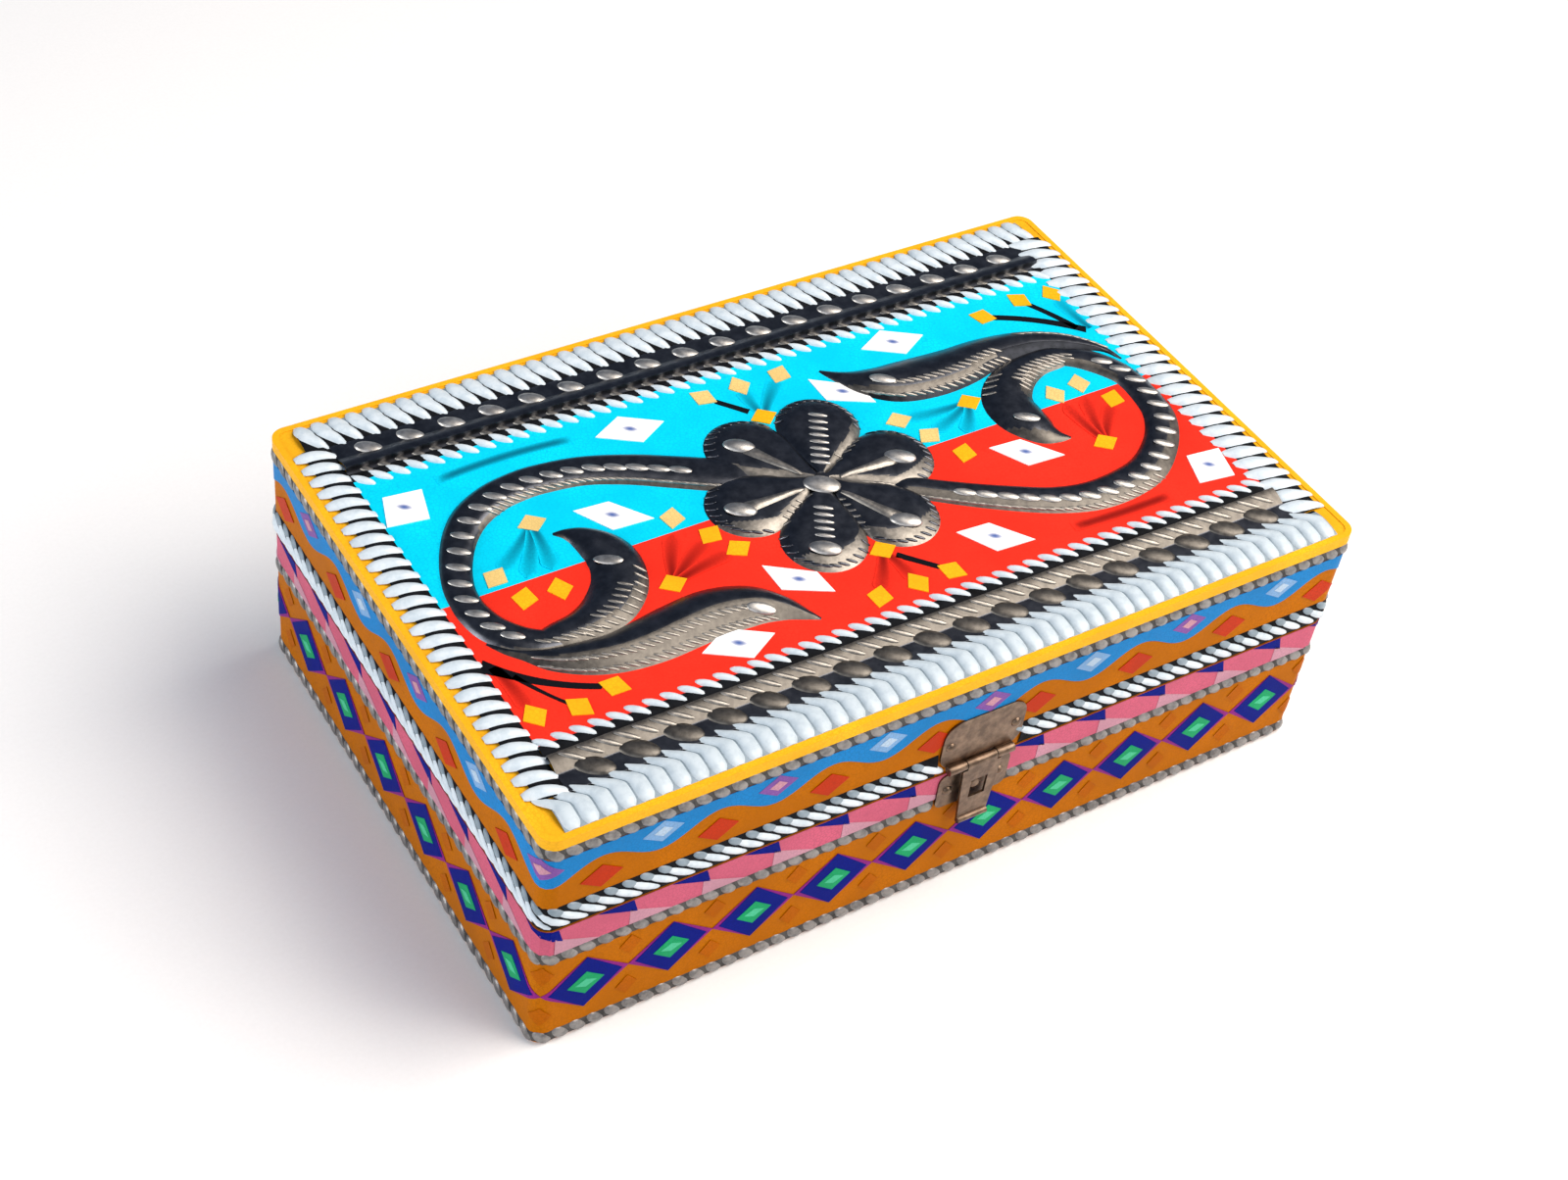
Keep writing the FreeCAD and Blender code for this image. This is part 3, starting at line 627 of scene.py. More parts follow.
pink_tape = band("pink_tape", tooth_pitch, pink_bottom, pink_top)
navy_teeth = surface("navy_teeth", 6, 4, hanging_tooth)
blush_teeth = surface("blush_teeth", 6, 4, standing_tooth)
keep(tape(pink_tape, tooth_count, 0, 1, pink_vinyl), "base")
keep(tape(navy_teeth, tooth_count, first_tooth, 2, navy_vinyl), "base")
keep(tape(blush_teeth, tooth_count, first_tooth + tooth_pitch / 2, 2, blush_vinyl), "base")

# %% [markdown]
# ### The chain of diamonds
# The lower band is a chain of navy diamonds with green hearts. A wider magenta diamond lies under each,
# so that a thin magenta line joins one to the next, and small amber diamonds fill the corners above and
# below. Each tape lies one layer above the last, so that no two faces share a place and flicker.

# %% The chain of navy diamonds
diamond_count = 33
diamond_pitch = wall_length / diamond_count
diamond_level = 0.0188
chain_shift = 0.0008
first_diamond = front_middle + diamond_pitch / 2 - chain_shift
amber_width = 0.006
amber_height = 0.007

for name, width, height, layer, material in (
        ("magenta_links", diamond_pitch, 0.0192, 1, magenta_vinyl),
        ("navy_diamonds", 0.0200, 0.0192, 2, navy_vinyl),
        ("green_diamonds", 0.0100, 0.0084, 3, green_vinyl),
        ("mint_glints", 0.0058, 0.0030, 4, mint_vinyl)):
    piece = diamond(name, width, height, diamond_level)
    keep(tape(piece, diamond_count, first_diamond, layer, material), "base")
for name, level in (("upper_amber_diamonds", 0.0266), ("lower_amber_diamonds", 0.0108)):
    piece = diamond(name, amber_width, amber_height, level, 6)
    keep(tape(piece, diamond_count, first_diamond + diamond_pitch / 2, 1, amber_vinyl), "base")

# %% [markdown]
# ## Ribbed cords and the rope
# A cord is a row of small slanted ribs on a low bed. A twisted tube could be swept round the box, but
# separate ribs keep the dark gaps between the folds. One rib is half of a stretched ball, turned to its
# slant; an Array repeats it and the Curve modifier carries it round. Where a plate or a hinge interrupts
# the cord, the row is laid in separate runs, each with as many ribs as fit.

# %% Cords round the walls
shell = 0.0002
bed_cell = 0.0016
bed_share = 0.5


def wall_bed(name, start, end, bottom, top, rise, gap_shade):
    """Low half-round bed of a cord, from one distance along the walls to another."""
    cells = max(2, round((end - start) / bed_cell))

    def place(u, v):
        bulge = math.sin(math.pi * v)
        return Vector((start + u * (end - start), -rise * bulge, bottom + v * (top - bottom)))
    bed = surface(name, cells, 5, place)
    apply(bed, "SOLIDIFY", thickness=shell, offset=-1.0)
    wrap(bed)
    # The bed's colour is painted shade in the gaps between the ribs.
    dress(bed, gap_shade)
    return bed


def wall_strand(name, start, end, level, rise, strand):
    """Row of slanted ribs between two distances along the walls."""
    count = round((end - start) / rib_pitch)
    step = (end - start) / count
    ribs = half_bead(name, strand["length"], strand["width"], rise * strand["share"])
    ribs.data.transform(Matrix.Rotation(math.radians(strand["slant"]), 4, "Z"))
    ribs.data.transform(Matrix.Rotation(math.radians(90), 4, "X"))
    shift(ribs, x=start + step / 2 + strand["aside"], z=level + strand["above"])
    row(ribs, count, step)
    wrap(ribs)
    dress(ribs, strand["material"])
    return ribs


def wall_cord(name, node, runs, strands, body, gap_shade=grey_bed, drop=0.0):
    """Cord that stands for a node of the frame, in one or more runs; its bed may drop a little lower."""
    low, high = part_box(node)
    rise = skin_low.y - low.y
    pieces = []
    for start, end in runs:
        pieces.append(wall_bed(name, start, end, low.z - drop, high.z, rise * bed_share, gap_shade))
        for strand in strands:
            pieces.append(wall_strand(name, start, end, (low.z + high.z) / 2, rise, strand))
    cord = join(name, pieces)
    smooth(cord, 60)
    keep(cord, body, "ribbed_trim", node)


# %% [markdown]
# ### Runs and strands
# The three narrow cords have one silver strand. The rope at the closing edge has two: long white ribs,
# and short grey ones above them that look like the shaded side of the twist.

# %% Lay the cords
rib_pitch = 0.0048
silver_strand = {"length": 0.0056, "width": 0.0034, "slant": -36, "aside": 0.0, "above": 0.0,
                 "share": 1.0, "material": silver_ribbon}
white_strand = {"length": 0.0106, "width": 0.0026, "slant": -33, "aside": 0.0006, "above": -0.0005,
                "share": 1.0, "material": white_ribbon}
grey_strand = {"length": 0.0054, "width": 0.0024, "slant": -33, "aside": -0.0034, "above": 0.0021,
               "share": 0.74, "material": shade_ribbon}
whole_round = [(0.0, wall_length)]
trim_gap = 0.0004
rope_drop = 0.00035
catch_low, catch_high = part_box("catch_plate")
plate_low, plate_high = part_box("hasp_plate")
hinge_low, hinge_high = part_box("right_hinge_lid_leaf")
catch_runs = [
    (0.0, front_middle + catch_low.x - trim_gap),
    (front_middle + catch_high.x + trim_gap, wall_length),
]
rope_runs = [
    (0.0, hinge_low.x - trim_gap),
    (hinge_high.x + trim_gap, front_middle + plate_low.x - trim_gap),
    (front_middle + plate_high.x + trim_gap, wall_length - hinge_high.x - trim_gap),
    (wall_length - hinge_low.x + trim_gap, wall_length),
]
wall_cord("bottom_cord", "base_bottom_cord", whole_round, [silver_strand], "base")
wall_cord("middle_cord", "base_middle_cord", catch_runs, [silver_strand], "base")
wall_cord("upper_cord", "lid_upper_cord", whole_round, [silver_strand], "lid")
wall_cord("closing_rope", "lid_rope", rope_runs, [white_strand, grey_strand], "lid", dark_bed, rope_drop)
bpy.data.objects.remove(wall_line)

# %% [markdown]
# ## Borders on the lid
# The white borders are folds of ribbon laid across a low core. On the long sides each fold starts square
# to the edge and leans over at its inner tip; on the short sides it is a slanted leaf, pointed at both
# ends. Half a ball, as in the cords, would be too even for that. One fold is a grid with a rule for its
# width, lean and height, and an Array modifier lays the row.

# %% Ribbed borders
crest_share = 0.58
outer_lift = 0.2
inner_lift = 0.3


def core(share):
    """Height of a border's core at a share of its width: a long outer slope and a short inner one."""
    if share < crest_share:
        return outer_lift + (1 - outer_lift) * math.sin(0.5 * math.pi * share / crest_share)
    fallen = min(1.0, (share - crest_share) / (1 - crest_share))
    return inner_lift + (1 - inner_lift) * math.cos(0.5 * math.pi * fallen)


core_share = 0.5
puff_share = 0.42
sink_share = 0.03
outer_end_share = 0.3
outer_end_rate = 7
inner_end_share = 0.25
inner_end_rate = 4


def pleat(name, step, width, rise, shape):
    """One fold of ribbon across a border: blunt or pointed outside, leaning over to a point inside."""
    length = width + shape["overhang"]

    def place(u, v):
        along = v * length
        across = 2 * u - 1
        bent = max(0.0, (v - shape["straight"]) / (1 - shape["straight"]))
        swell = min(1.0, shape["tip"] + (1 - shape["tip"]) * (along / shape["taper"]) ** 0.8)
        half = 0.5 * step * shape["fill"] * swell * (1 - (1 - shape["point"]) * bent ** shape["late"])
        middle = shape["slant"] * (v - 0.5) + shape["lean"] * bent ** 1.1
        fade = min(1.0, outer_end_share + outer_end_rate * v, inner_end_share + inner_end_rate * (1 - v))
        puff = puff_share * fade * (1 - abs(across) ** shape["round"]) - sink_share
        height = rise * (core_share * core(along / width) + puff)
        return Vector((middle + across * half, along - width / 2, height))
    rib = surface(name, 8, 16, place)
    close(rib)
    return rib


def border(name, length, width, rise, shape):
    """Row of pleats along X over a core whose grey outside and black inside are painted shade between the
    pleats.
    """
    count = round(length / rib_pitch)
    step = length / count
    ribs = pleat(name, step, width, rise, shape)
    shift(ribs, x=(step - length) / 2)
    row(ribs, count, step)
    dress(ribs, shape["ribbon"])
    bare = shape["bare"]

    def bed_place(u, v):
        share = bare + v * (1 - bare)
        return Vector(((u - 0.5) * length, (share - 0.5) * width, rise * core_share * core(share)))
    bed = surface(name, 2, 12, bed_place)
    apply(bed, "SOLIDIFY", thickness=shell, offset=-1.0)
    dress(bed, dark_bed)
    bed.data.materials.append(shade_ribbon)
    for face in bed.data.polygons:
        face.material_index = 1 if face.center.y < (shape["grey"] - 0.5) * width else 0
    return join(name, [bed, ribs])


# %% [markdown]
# ### Four shapes of fold
# The four borders were folded by hand and differ: how blunt the outer tip is, how soon the fold leans
# over, how much of the bed it fills, and how far the bed stays bare at the outer edge.

# %% Lay the borders
# The key grey is how far from the outer edge the bed takes grey painted shade; the front ribbon is the
# darker copy, painted shade.
front_shape = {"overhang": 0.0018, "tip": 0.62, "taper": 0.0016, "round": 3.4, "fill": 0.93,
               "straight": 0.55, "lean": -0.0046, "point": 0.22, "late": 3.0, "slant": 0.0,
               "bare": 0.0, "grey": 0.95, "ribbon": front_shaded_ribbon}
back_shape = {"overhang": 0.0008, "tip": 0.42, "taper": 0.0026, "round": 2.4, "fill": 0.96,
              "straight": 0.50, "lean": -0.0026, "point": 0.30, "late": 2.0, "slant": -0.0012,
              "bare": 0.14, "grey": 0.45, "ribbon": white_ribbon}
left_shape = {"overhang": 0.0004, "tip": 0.55, "taper": 0.0024, "round": 2.6, "fill": 0.80,
              "straight": 0.45, "lean": 0.0006, "point": 0.56, "late": 1.5, "slant": 0.0016,
              "bare": 0.26, "grey": 0.0, "ribbon": white_ribbon}
right_shape = {"overhang": 0.0022, "tip": 0.26, "taper": 0.0060, "round": 2.4, "fill": 0.94,
               "straight": 0.70, "lean": 0.0004, "point": 0.40, "late": 2.0, "slant": 0.0034,
               "bare": 0.16, "grey": 0.0, "ribbon": white_ribbon}
for name, turn, shape in (("front_border", 0, front_shape), ("back_border", 180, back_shape),
                          ("left_border", 270, left_shape), ("right_border", 90, right_shape)):
    low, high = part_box(name)
    size = high - low
    length, width = max(size.x, size.y), min(size.x, size.y)
    piece = border(name + "_ribs", length, width, size.z, shape)
    middle = Vector(((low.x + high.x) / 2, (low.y + high.y) / 2, low.z))
    piece.data.transform(Matrix.Translation(middle) @ Matrix.Rotation(math.radians(turn), 4, "Z"))
    smooth(piece, 60)
    keep(piece, "lid", "ribbed_trim", name)

# %% [markdown]
# ## Inner ropes and bands of bosses
# Next to the coloured field runs a thin rope of slanted ribs, and between it and the border a dark steel
# band. The band is flat under its row of oval bosses and rises in a slope beside the rope, where it is
# scored with short ticks. The rope is made as the cords are, but it is straight and needs no curve. The
# back one is the front one turned half round, with the other film beside it.

# %% Inner ropes
rope_rib_length = 0.0074
rope_rib_width = 0.0026
rope_slant = -44
tape_overlap = 0.0006
tape_lift = 0.00035
hump_share = 0.625
hump_rise_share = 0.35


def inner_rope(name, node, film):
    """Slanted white ribs along the field: a black bed on their outer side, painted shade, and the film on
    their inner side.
    """
    low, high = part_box(node)
    size = high - low
    middle = (low + high) / 2
    count = round(size.x / rib_pitch)
    step = size.x / count
    rib = half_bead(name, rope_rib_length, rope_rib_width, size.z)
    rib.data.transform(Matrix.Rotation(math.radians(rope_slant), 4, "Z"))
    shift(rib, x=low.x + step / 2, y=middle.y, z=low.z)
    row(rib, count, step)
    dress(rib, white_ribbon)

    def bed_place(u, v):
        hump = math.sin(math.pi * v / hump_share) if v < hump_share else 0.0
        outer = low.y - tape_overlap
        height = tape_lift + size.z * hump_rise_share * hump
        return Vector((low.x + u * size.x, outer + v * (high.y - outer), low.z + height))
    bed = surface(name, 2, 16, bed_place)
    apply(bed, "SOLIDIFY", thickness=shell, offset=-1.0)
    dress(bed, dark_bed)
    bed.data.materials.append(film)
    for face in bed.data.polygons:
        face.material_index = 1 if face.center.y > middle.y else 0
    piece = join(name, [bed, rib])
    smooth(piece, 60)
    return piece


front_rope = inner_rope("front_inner_rope_ribs", "front_inner_rope", red_vinyl)
back_rope = turned_copy("back_inner_rope_ribs", front_rope)
for index, material in enumerate(back_rope.data.materials):
    if material == red_vinyl:
        back_rope.data.materials[index] = cyan_vinyl
keep(front_rope, "lid", "ribbed_trim", "front_inner_rope")
keep(back_rope, "lid", "ribbed_trim", "back_inner_rope")

# %% [markdown]
# ### The bands
# A band's cross-section is drawn by one rule along its width. The sheet is a grid with many rows across
# and few along, given a thickness, and on the front band the slope that faces the front is dressed in
# a paler steel, a painted reflection of the light in front of the box.

# %% Sheets of the bands
band_low, band_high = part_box("front_bead_band")
band_size = band_high - band_low
flat_share = 0.45
groove_share = 0.87
edge_share = 0.01
edge_height = 0.0001
flat_height = 0.0005
slope_height = 0.0021
slope_rate = 1.1
groove_height = 0.00025
upper_side = 0.3


def band_height(v):
    """Height of the band across its width: flat under the bosses, a slope, and a groove beside the rope."""
    if v < flat_share:
        return flat_height
    if v > groove_share:
        return groove_height
    rising = (v - flat_share) / (groove_share - flat_share)
    swing = math.sin(0.5 * math.pi * min(1.0, rising * slope_rate))
    return flat_height + (slope_height - flat_height) * swing


def band_place(u, v):
    """The band's surface, with its two long edges down on the sheet."""
    height = band_height(v) if edge_share < v < 1 - edge_share else edge_height
    return Vector((band_low.x + u * band_size.x, band_low.y + v * band_size.y, band_low.z + height))


front_band = surface("front_band_sheet", 2, 48, band_place)
apply(front_band, "SOLIDIFY", thickness=shell, offset=-1.0)
dress(front_band, blued_steel)
front_band.data.materials.append(rubbed_steel)
for face in front_band.data.polygons:
    share = (face.center.y - band_low.y) / band_size.y
    on_slope = flat_share < share < groove_share
    face.material_index = 1 if on_slope and face.normal.z > upper_side else 0
smooth(front_band, 50)

# %% [markdown]
# ### Beads on a surface
# Bosses, dashes and ticks are all half beads that sit on a curved sheet. A ray from above finds the place
# and the tilt for each, and one bead is then copied to all the places that were found. A Shrinkwrap
# modifier would find the sheet too, but it would press the beads flat. On the object the long way of
# nearly all of them runs at the same slant.

# %% Helpers for beads
stroke_angle = -35
round_cut = (14, 10)
slim_cut = (8, 6)


def on_surface(piece, x, y, turn, upright):
    """Place on a piece's upper side, tilted to lie on it or upright, and turned about the upright axis."""
    hit, spot, normal, _ = piece.ray_cast(Vector((x, y, 1.0)), Vector((0, 0, -1)))
    normal = Vector((0, 0, 1)) if upright else normal
    along = Matrix.Rotation(math.radians(turn), 3, "Z") @ Vector((1, 0, 0))
    along = (along - normal * along.dot(normal)).normalized()
    basis = Matrix((along, normal.cross(along), normal)).transposed().to_4x4()
    return Matrix.Translation(spot) @ basis if hit else None


def beads_on(name, piece, template, spots, material, turn=stroke_angle, upright=False):
    """Copies of a bead on a piece's surface, at plan points."""
    bpy.context.view_layer.update()
    found = [on_surface(piece, x, y, turn, upright) for x, y in spots]
    beads = copies(name, template, [place for place in found if place])
    dress(beads, material)
    smooth(beads, 60)
    return beads


def evenly(count, pitch):
    """Places along a line, spaced evenly about its middle."""
    return [(index - (count - 1) / 2) * pitch for index in range(count)]


# %% [markdown]
# ### Bosses and strokes
# Large bosses and a row of slanted strokes stand on the front band; the bosses are dressed a dull mid-grey,
# painted shade beside the bright bosses at the back. The back band is the same sheet turned half round, with
# no painted sheen on its slope, all of it dark, and its smaller bosses are bright.

# %% Bosses and strokes on the bands
boss_pitch = 0.0117
boss_share = 0.36
stroke_share = 0.67
back_stroke_y = 0.0528
boss_y = band_low.y + boss_share * band_size.y
boss_xs = evenly(int(band_size.x / boss_pitch), boss_pitch)
stroke_y = band_low.y + stroke_share * band_size.y
stroke_xs = evenly(int(band_size.x / rib_pitch) - 1, rib_pitch)
front_boss = half_bead("boss", 0.0104, 0.0056, 0.0010, *round_cut)
front_bosses = beads_on("front_band_bosses", front_band, front_boss, [(x, boss_y) for x in boss_xs],
                        rubbed_steel)
front_stroke = half_bead("stroke", 0.0068, 0.0015, 0.0004, *slim_cut)
front_strokes = beads_on("front_band_strokes", front_band, front_stroke,
                         [(x, stroke_y) for x in stroke_xs], worn_tin)
back_band = turned_copy("back_band_sheet", front_band)
dress(back_band, blued_steel)
back_boss = half_bead("boss", 0.0076, 0.0042, 0.0010, *round_cut)
back_bosses = beads_on("back_band_bosses", back_band, back_boss, [(-x, -boss_y) for x in boss_xs],
                       bright_tin)
back_stroke = half_bead("stroke", 0.0048, 0.0018, 0.0006, *slim_cut)
back_strokes = beads_on("back_band_strokes", back_band, back_stroke,
                        [(x, back_stroke_y) for x in stroke_xs], worn_tin, rope_slant)
for piece in (front_bosses, front_strokes, back_bosses, back_strokes):
    keep(piece, "lid", "dark_steel")
keep(front_band, "lid", "dark_steel", "front_bead_band")
keep(back_band, "lid", "dark_steel", "back_bead_band")

# %% [markdown]
# ## The flower
# Six puffed petals are pressed from one sheet, with a crease between each pair. One petal is a grid in
# polar form: its columns fan out over sixty degrees and its rows run from the middle to the rim. The rule
# for its height rounds off the rim and dips at the creases. Sculpting would give six different petals;
# here six turned copies of one are joined and closed, and bosses and tongues are set on top.

# %% Petals
film_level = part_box("cyan_field")[1].z
petal_count = 6
petal_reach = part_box("flower")[1].x
lobe_radius = 0.0114
lobe_middle = petal_reach - lobe_radius
petal_hole = 0.002
petal_rise = 0.0022
rim_width = 0.0080
crease_depth = 0.45


def petal_edge(angle):
    """Distance from the flower's middle to the rim."""
    aside = lobe_middle * math.sin(angle)
    return lobe_middle * math.cos(angle) + math.sqrt(lobe_radius ** 2 - aside ** 2)


def petal_place(u, v):
    """The surface of the petal that points along X."""
    angle = (u - 0.5) * 2 * math.pi / petal_count
    edge = petal_edge(angle)
    reach = petal_hole + v * (edge - petal_hole)
    inside = min(1.0, max(0.0, (edge - reach) / rim_width))
    puff = math.sin(0.5 * math.pi * inside) ** 0.8
    crease = 1 - crease_depth * abs(2 * u - 1) ** 5
    height = film_level + petal_rise * puff * crease
    return Vector((reach * math.cos(angle), reach * math.sin(angle), height))


petal = surface("petal", 36, 44, petal_place)
turns = [Matrix.Rotation(2 * math.pi * index / petal_count, 4, "Z") for index in range(petal_count)]
flower = copies("flower_sheet", petal, turns)
close(flower)
dress(flower, blued_steel)
smooth(flower, 70)


# %% [markdown]
# ### Painted sheen on slopes
# Steel that faces the front is dressed paler, a painted reflection of the light in front of the box, and it
# stays dark elsewhere; parts that should mirror only the dark are dressed darker, painted shade. Faces are
# chosen by the direction they look in, so no mask has to be painted.

# %% Paint sheen on the front slopes
least_upright = 0.2


def paint_front_slopes(piece, gentle, steep=1.0, furthest=1.0, pale=rubbed_steel):
    """Dress slopes that face the front in painted sheen, and in painted shade beyond some x or where they
    are steep.
    """
    piece.data.materials.append(pale)
    piece.data.materials.append(sooted_steel)
    for face in piece.data.polygons:
        if face.normal.y < -gentle and face.normal.z > least_upright:
            in_sheen = face.normal.y > -steep and face.center.x < furthest
            face.material_index = 1 if in_sheen else 2


# Slopes of the petals that face the front take a paler steel: painted reflection.
petal_slope = 0.15
paint_front_slopes(flower, petal_slope, pale=polished_steel)

# %% [markdown]
# ### Marks on the petals
# Four petals carry a tapering tongue and a boss. The two others have a ladder of dashes, and one of these
# has no boss. Fine ticks follow the rim and some of the creases, and an oval hub covers the middle. Each
# mark is placed by its distance and bearing. Bosses, tongues and ladders were struck a little to the front
# and left of the flower's true middle, and so was the hub.

# %% Bosses, ladders, tongues and ticks
marks_aside = (-0.0013, -0.0020)
hub_place = (-0.0016, -0.0026)
boss_reach = 0.0245
bare_bearing = 60
ladders = {60: (0.0080, 0.0027, 8), 240: (0.0095, 0.0026, 5)}
ticked_creases = (30, 210, 270, 330)
crease_start = 0.0085
crease_gap = 0.0023
crease_count = 6
rim_inset = 0.0016
rim_gap_degrees = 4.2
rim_reach = 6
tongue_reach = 0.0140
tongue_length = 0.0165
tongue_rise = 0.0007
tongue_start = 0.0006
tongue_swell = 0.0014
tongue_end_share = 0.2
tongue_end_rate = 6


def polar(reach, degrees, aside=(0.0, 0.0)):
    """Plan point at a distance and a bearing from the lid's middle, or from a point a little aside of it."""
    angle = math.radians(degrees)
    return aside[0] + reach * math.cos(angle), aside[1] + reach * math.sin(angle)


def tongue(u, v):
    """Tapering rib along X, wide at its outer end."""
    across = 2 * v - 1
    ends = min(1.0, tongue_end_share + tongue_end_rate * min(u, 1 - u))
    height = tongue_rise * math.sqrt(max(0.0, 1 - across ** 2)) * ends
    return Vector(((u - 0.5) * tongue_length, across * (tongue_start + tongue_swell * u), height))


bearings = [index * 360 / petal_count for index in range(petal_count)]
boss_spots = [polar(boss_reach, bearing, marks_aside) for bearing in bearings if bearing != bare_bearing]
petal_boss = half_bead("boss", 0.0086, 0.0048, 0.0011, *round_cut)
petal_bosses = beads_on("petal_bosses", flower, petal_boss, boss_spots, bright_tin, upright=True)
ladder_spots = []
for bearing, (first, gap, count) in ladders.items():
    ladder_spots += [polar(first + gap * step, bearing, marks_aside) for step in range(count)]
petal_dash = half_bead("dash", 0.0054, 0.0013, 0.0004, *slim_cut)
petal_dashes = beads_on("petal_dashes", flower, petal_dash, ladder_spots, bright_tin)
tongues = []
for bearing in bearings:
    if bearing not in ladders:
        template = surface("tongue", 12, 6, tongue)
        close(template)
        spot = polar(tongue_reach, bearing, marks_aside)
        tongues.append(beads_on("tongue", flower, template, [spot], worn_tin, bearing))
tongues = join("petal_tongues", tongues)
crease_spots = []
for bearing in ticked_creases:
    crease_spots += [polar(crease_start + crease_gap * step, bearing) for step in range(crease_count)]
crease_tick = half_bead("tick", 0.0040, 0.0009, 0.0003, *slim_cut)
crease_ticks = beads_on("petal_crease_ticks", flower, crease_tick, crease_spots, worn_tin)
rim_spots = []
for bearing in bearings:
    for index in range(-rim_reach, rim_reach + 1):
        side = index * rim_gap_degrees
        rim_spots.append(polar(petal_edge(math.radians(side)) - rim_inset, bearing + side))
rim_tick = half_bead("tick", 0.0034, 0.0009, 0.0003, *slim_cut)
rim_ticks = beads_on("petal_rim_ticks", flower, rim_tick, rim_spots, blued_steel)
hub_bead = half_bead("hub", 0.0100, 0.0062, 0.0011, 16, 10)
hub = beads_on("flower_hub", flower, hub_bead, [hub_place], bright_tin, upright=True)
for piece in (petal_bosses, petal_dashes, tongues, crease_ticks, rim_ticks, hub):
    keep(piece, "lid", "dark_steel")
keep(flower, "lid", "dark_steel", "flower")

# %% [markdown]
# ## Scrolls and leaves
# Each scroll is a band that swells and narrows along a smooth line: an arm that sweeps out of the flower,
# a blade that curls back into a hook, and a leaf along the foot. The line goes through a few given
# points, with the band's width as a third value, and a spline through them gives every point
# between. A curve with a bevel would keep one cross-section, round and even, so a grid is laid along the
# line instead.

# %% Scroll lines
left_arm = [
    (-14.0, 8.5, 9.0), (-22.0, 13.2, 12.5), (-33.2, 19.8, 12.4), (-43.2, 25.3, 11.6), (-54.3, 29.7, 10.9),
    (-65.4, 31.4, 10.8), (-72.4, 31.3, 10.6), (-79.9, 29.8, 10.3), (-87.7, 25.9, 9.8), (-93.8, 19.8, 8.9),
    (-98.6, 12.0, 8.2), (-101.4, 4.8, 7.9), (-102.2, -0.5, 8.0), (-102.0, -5.6, 8.6), (-100.2, -11.7, 9.2),
    (-95.5, -17.8, 9.0), (-89.0, -20.8, 7.0), (-82.5, -20.8, 4.0), (-77.0, -18.8, 1.0),
]
left_blade = [
    (-96.0, -19.0, 2.0), (-88.0, -20.0, 8.6), (-80.0, -19.5, 10.5), (-72.2, -17.0, 13.5),
    (-66.2, -11.8, 14.3), (-63.3, -6.0, 14.0), (-62.7, -0.5, 13.4), (-64.0, 4.0, 11.6),
    (-66.3, 8.0, 8.0), (-69.0, 10.6, 4.0), (-72.0, 12.0, 0.8),
]
left_leaf = [
    (-104.0, -15.0, 0.8), (-101.0, -19.0, 2.2), (-97.0, -22.5, 4.2), (-92.0, -26.3, 8.0),
    (-84.5, -29.3, 11.5), (-76.5, -31.0, 13.3), (-67.5, -30.8, 15.2), (-58.8, -29.8, 16.0),
    (-48.8, -29.2, 16.0), (-40.0, -31.0, 14.0), (-33.5, -35.0, 9.0), (-29.3, -39.3, 4.0),
    (-26.6, -42.3, 0.8),
]
right_arm = [
    (14.0, -8.0, 7.5), (22.0, -12.6, 8.2), (25.8, -15.3, 8.4), (33.9, -20.9, 9.0), (42.8, -26.4, 9.6),
    (52.8, -31.7, 10.0), (63.3, -34.6, 10.8), (74.4, -34.4, 11.0), (84.4, -31.7, 10.5), (93.9, -24.7, 9.6),
    (99.8, -16.7, 9.4), (101.8, -8.9, 9.0), (102.0, 0.0, 8.5), (100.2, 6.0, 9.2), (95.5, 12.5, 9.2),
    (89.5, 16.0, 7.0), (83.0, 17.2, 4.0), (77.5, 16.4, 1.0),
]
right_blade = [
    (96.0, 14.5, 2.0), (88.5, 16.6, 8.6), (80.5, 16.6, 9.8), (73.0, 14.3, 12.0), (67.3, 10.2, 13.8),
    (64.3, 5.5, 14.8), (63.9, 0.5, 15.0), (64.8, -4.0, 13.5), (66.5, -8.5, 10.0), (69.0, -11.3, 5.0),
    (72.0, -13.0, 0.8),
]
right_leaf = [
    (105.5, 8.5, 0.8), (103.0, 14.5, 3.0), (96.0, 20.4, 7.2), (88.0, 24.2, 9.4), (80.0, 25.7, 11.4),
    (70.0, 25.9, 13.4), (60.0, 24.7, 15.8), (50.0, 24.6, 17.0), (40.0, 26.0, 15.8), (32.5, 29.7, 11.0),
    (27.5, 34.3, 5.0), (23.9, 38.7, 0.8),
]


# %% [markdown]
# ### Relief along a line
# The cross-section of a band rises from both edges to a crest. A different power on each side makes one
# flank flat on top and the other an even slope, as a leaf pressed over a form has. The rise grows with
# the width, so that the thin ends lie low.

# %% Scroll sheets
end_rate = 30
width_gain = 1.25


def smooth_line(points, steps=6):
    """Points of a smooth line through the given ones, with the width carried along."""
    knots = [Vector(point) / 1000 for point in points]
    knots = [2 * knots[0] - knots[1]] + knots + [2 * knots[-1] - knots[-2]]
    line = []
    for a, b, c, d in zip(knots, knots[1:], knots[2:], knots[3:]):
        for step in range(steps):
            t = step / steps
            line.append(0.5 * (2 * b + t * (c - a) + t * t * (2 * a - 5 * b + 4 * c - d)
                               + t * t * t * (3 * b - 3 * c + d - a)))
    return line + [knots[-2]]


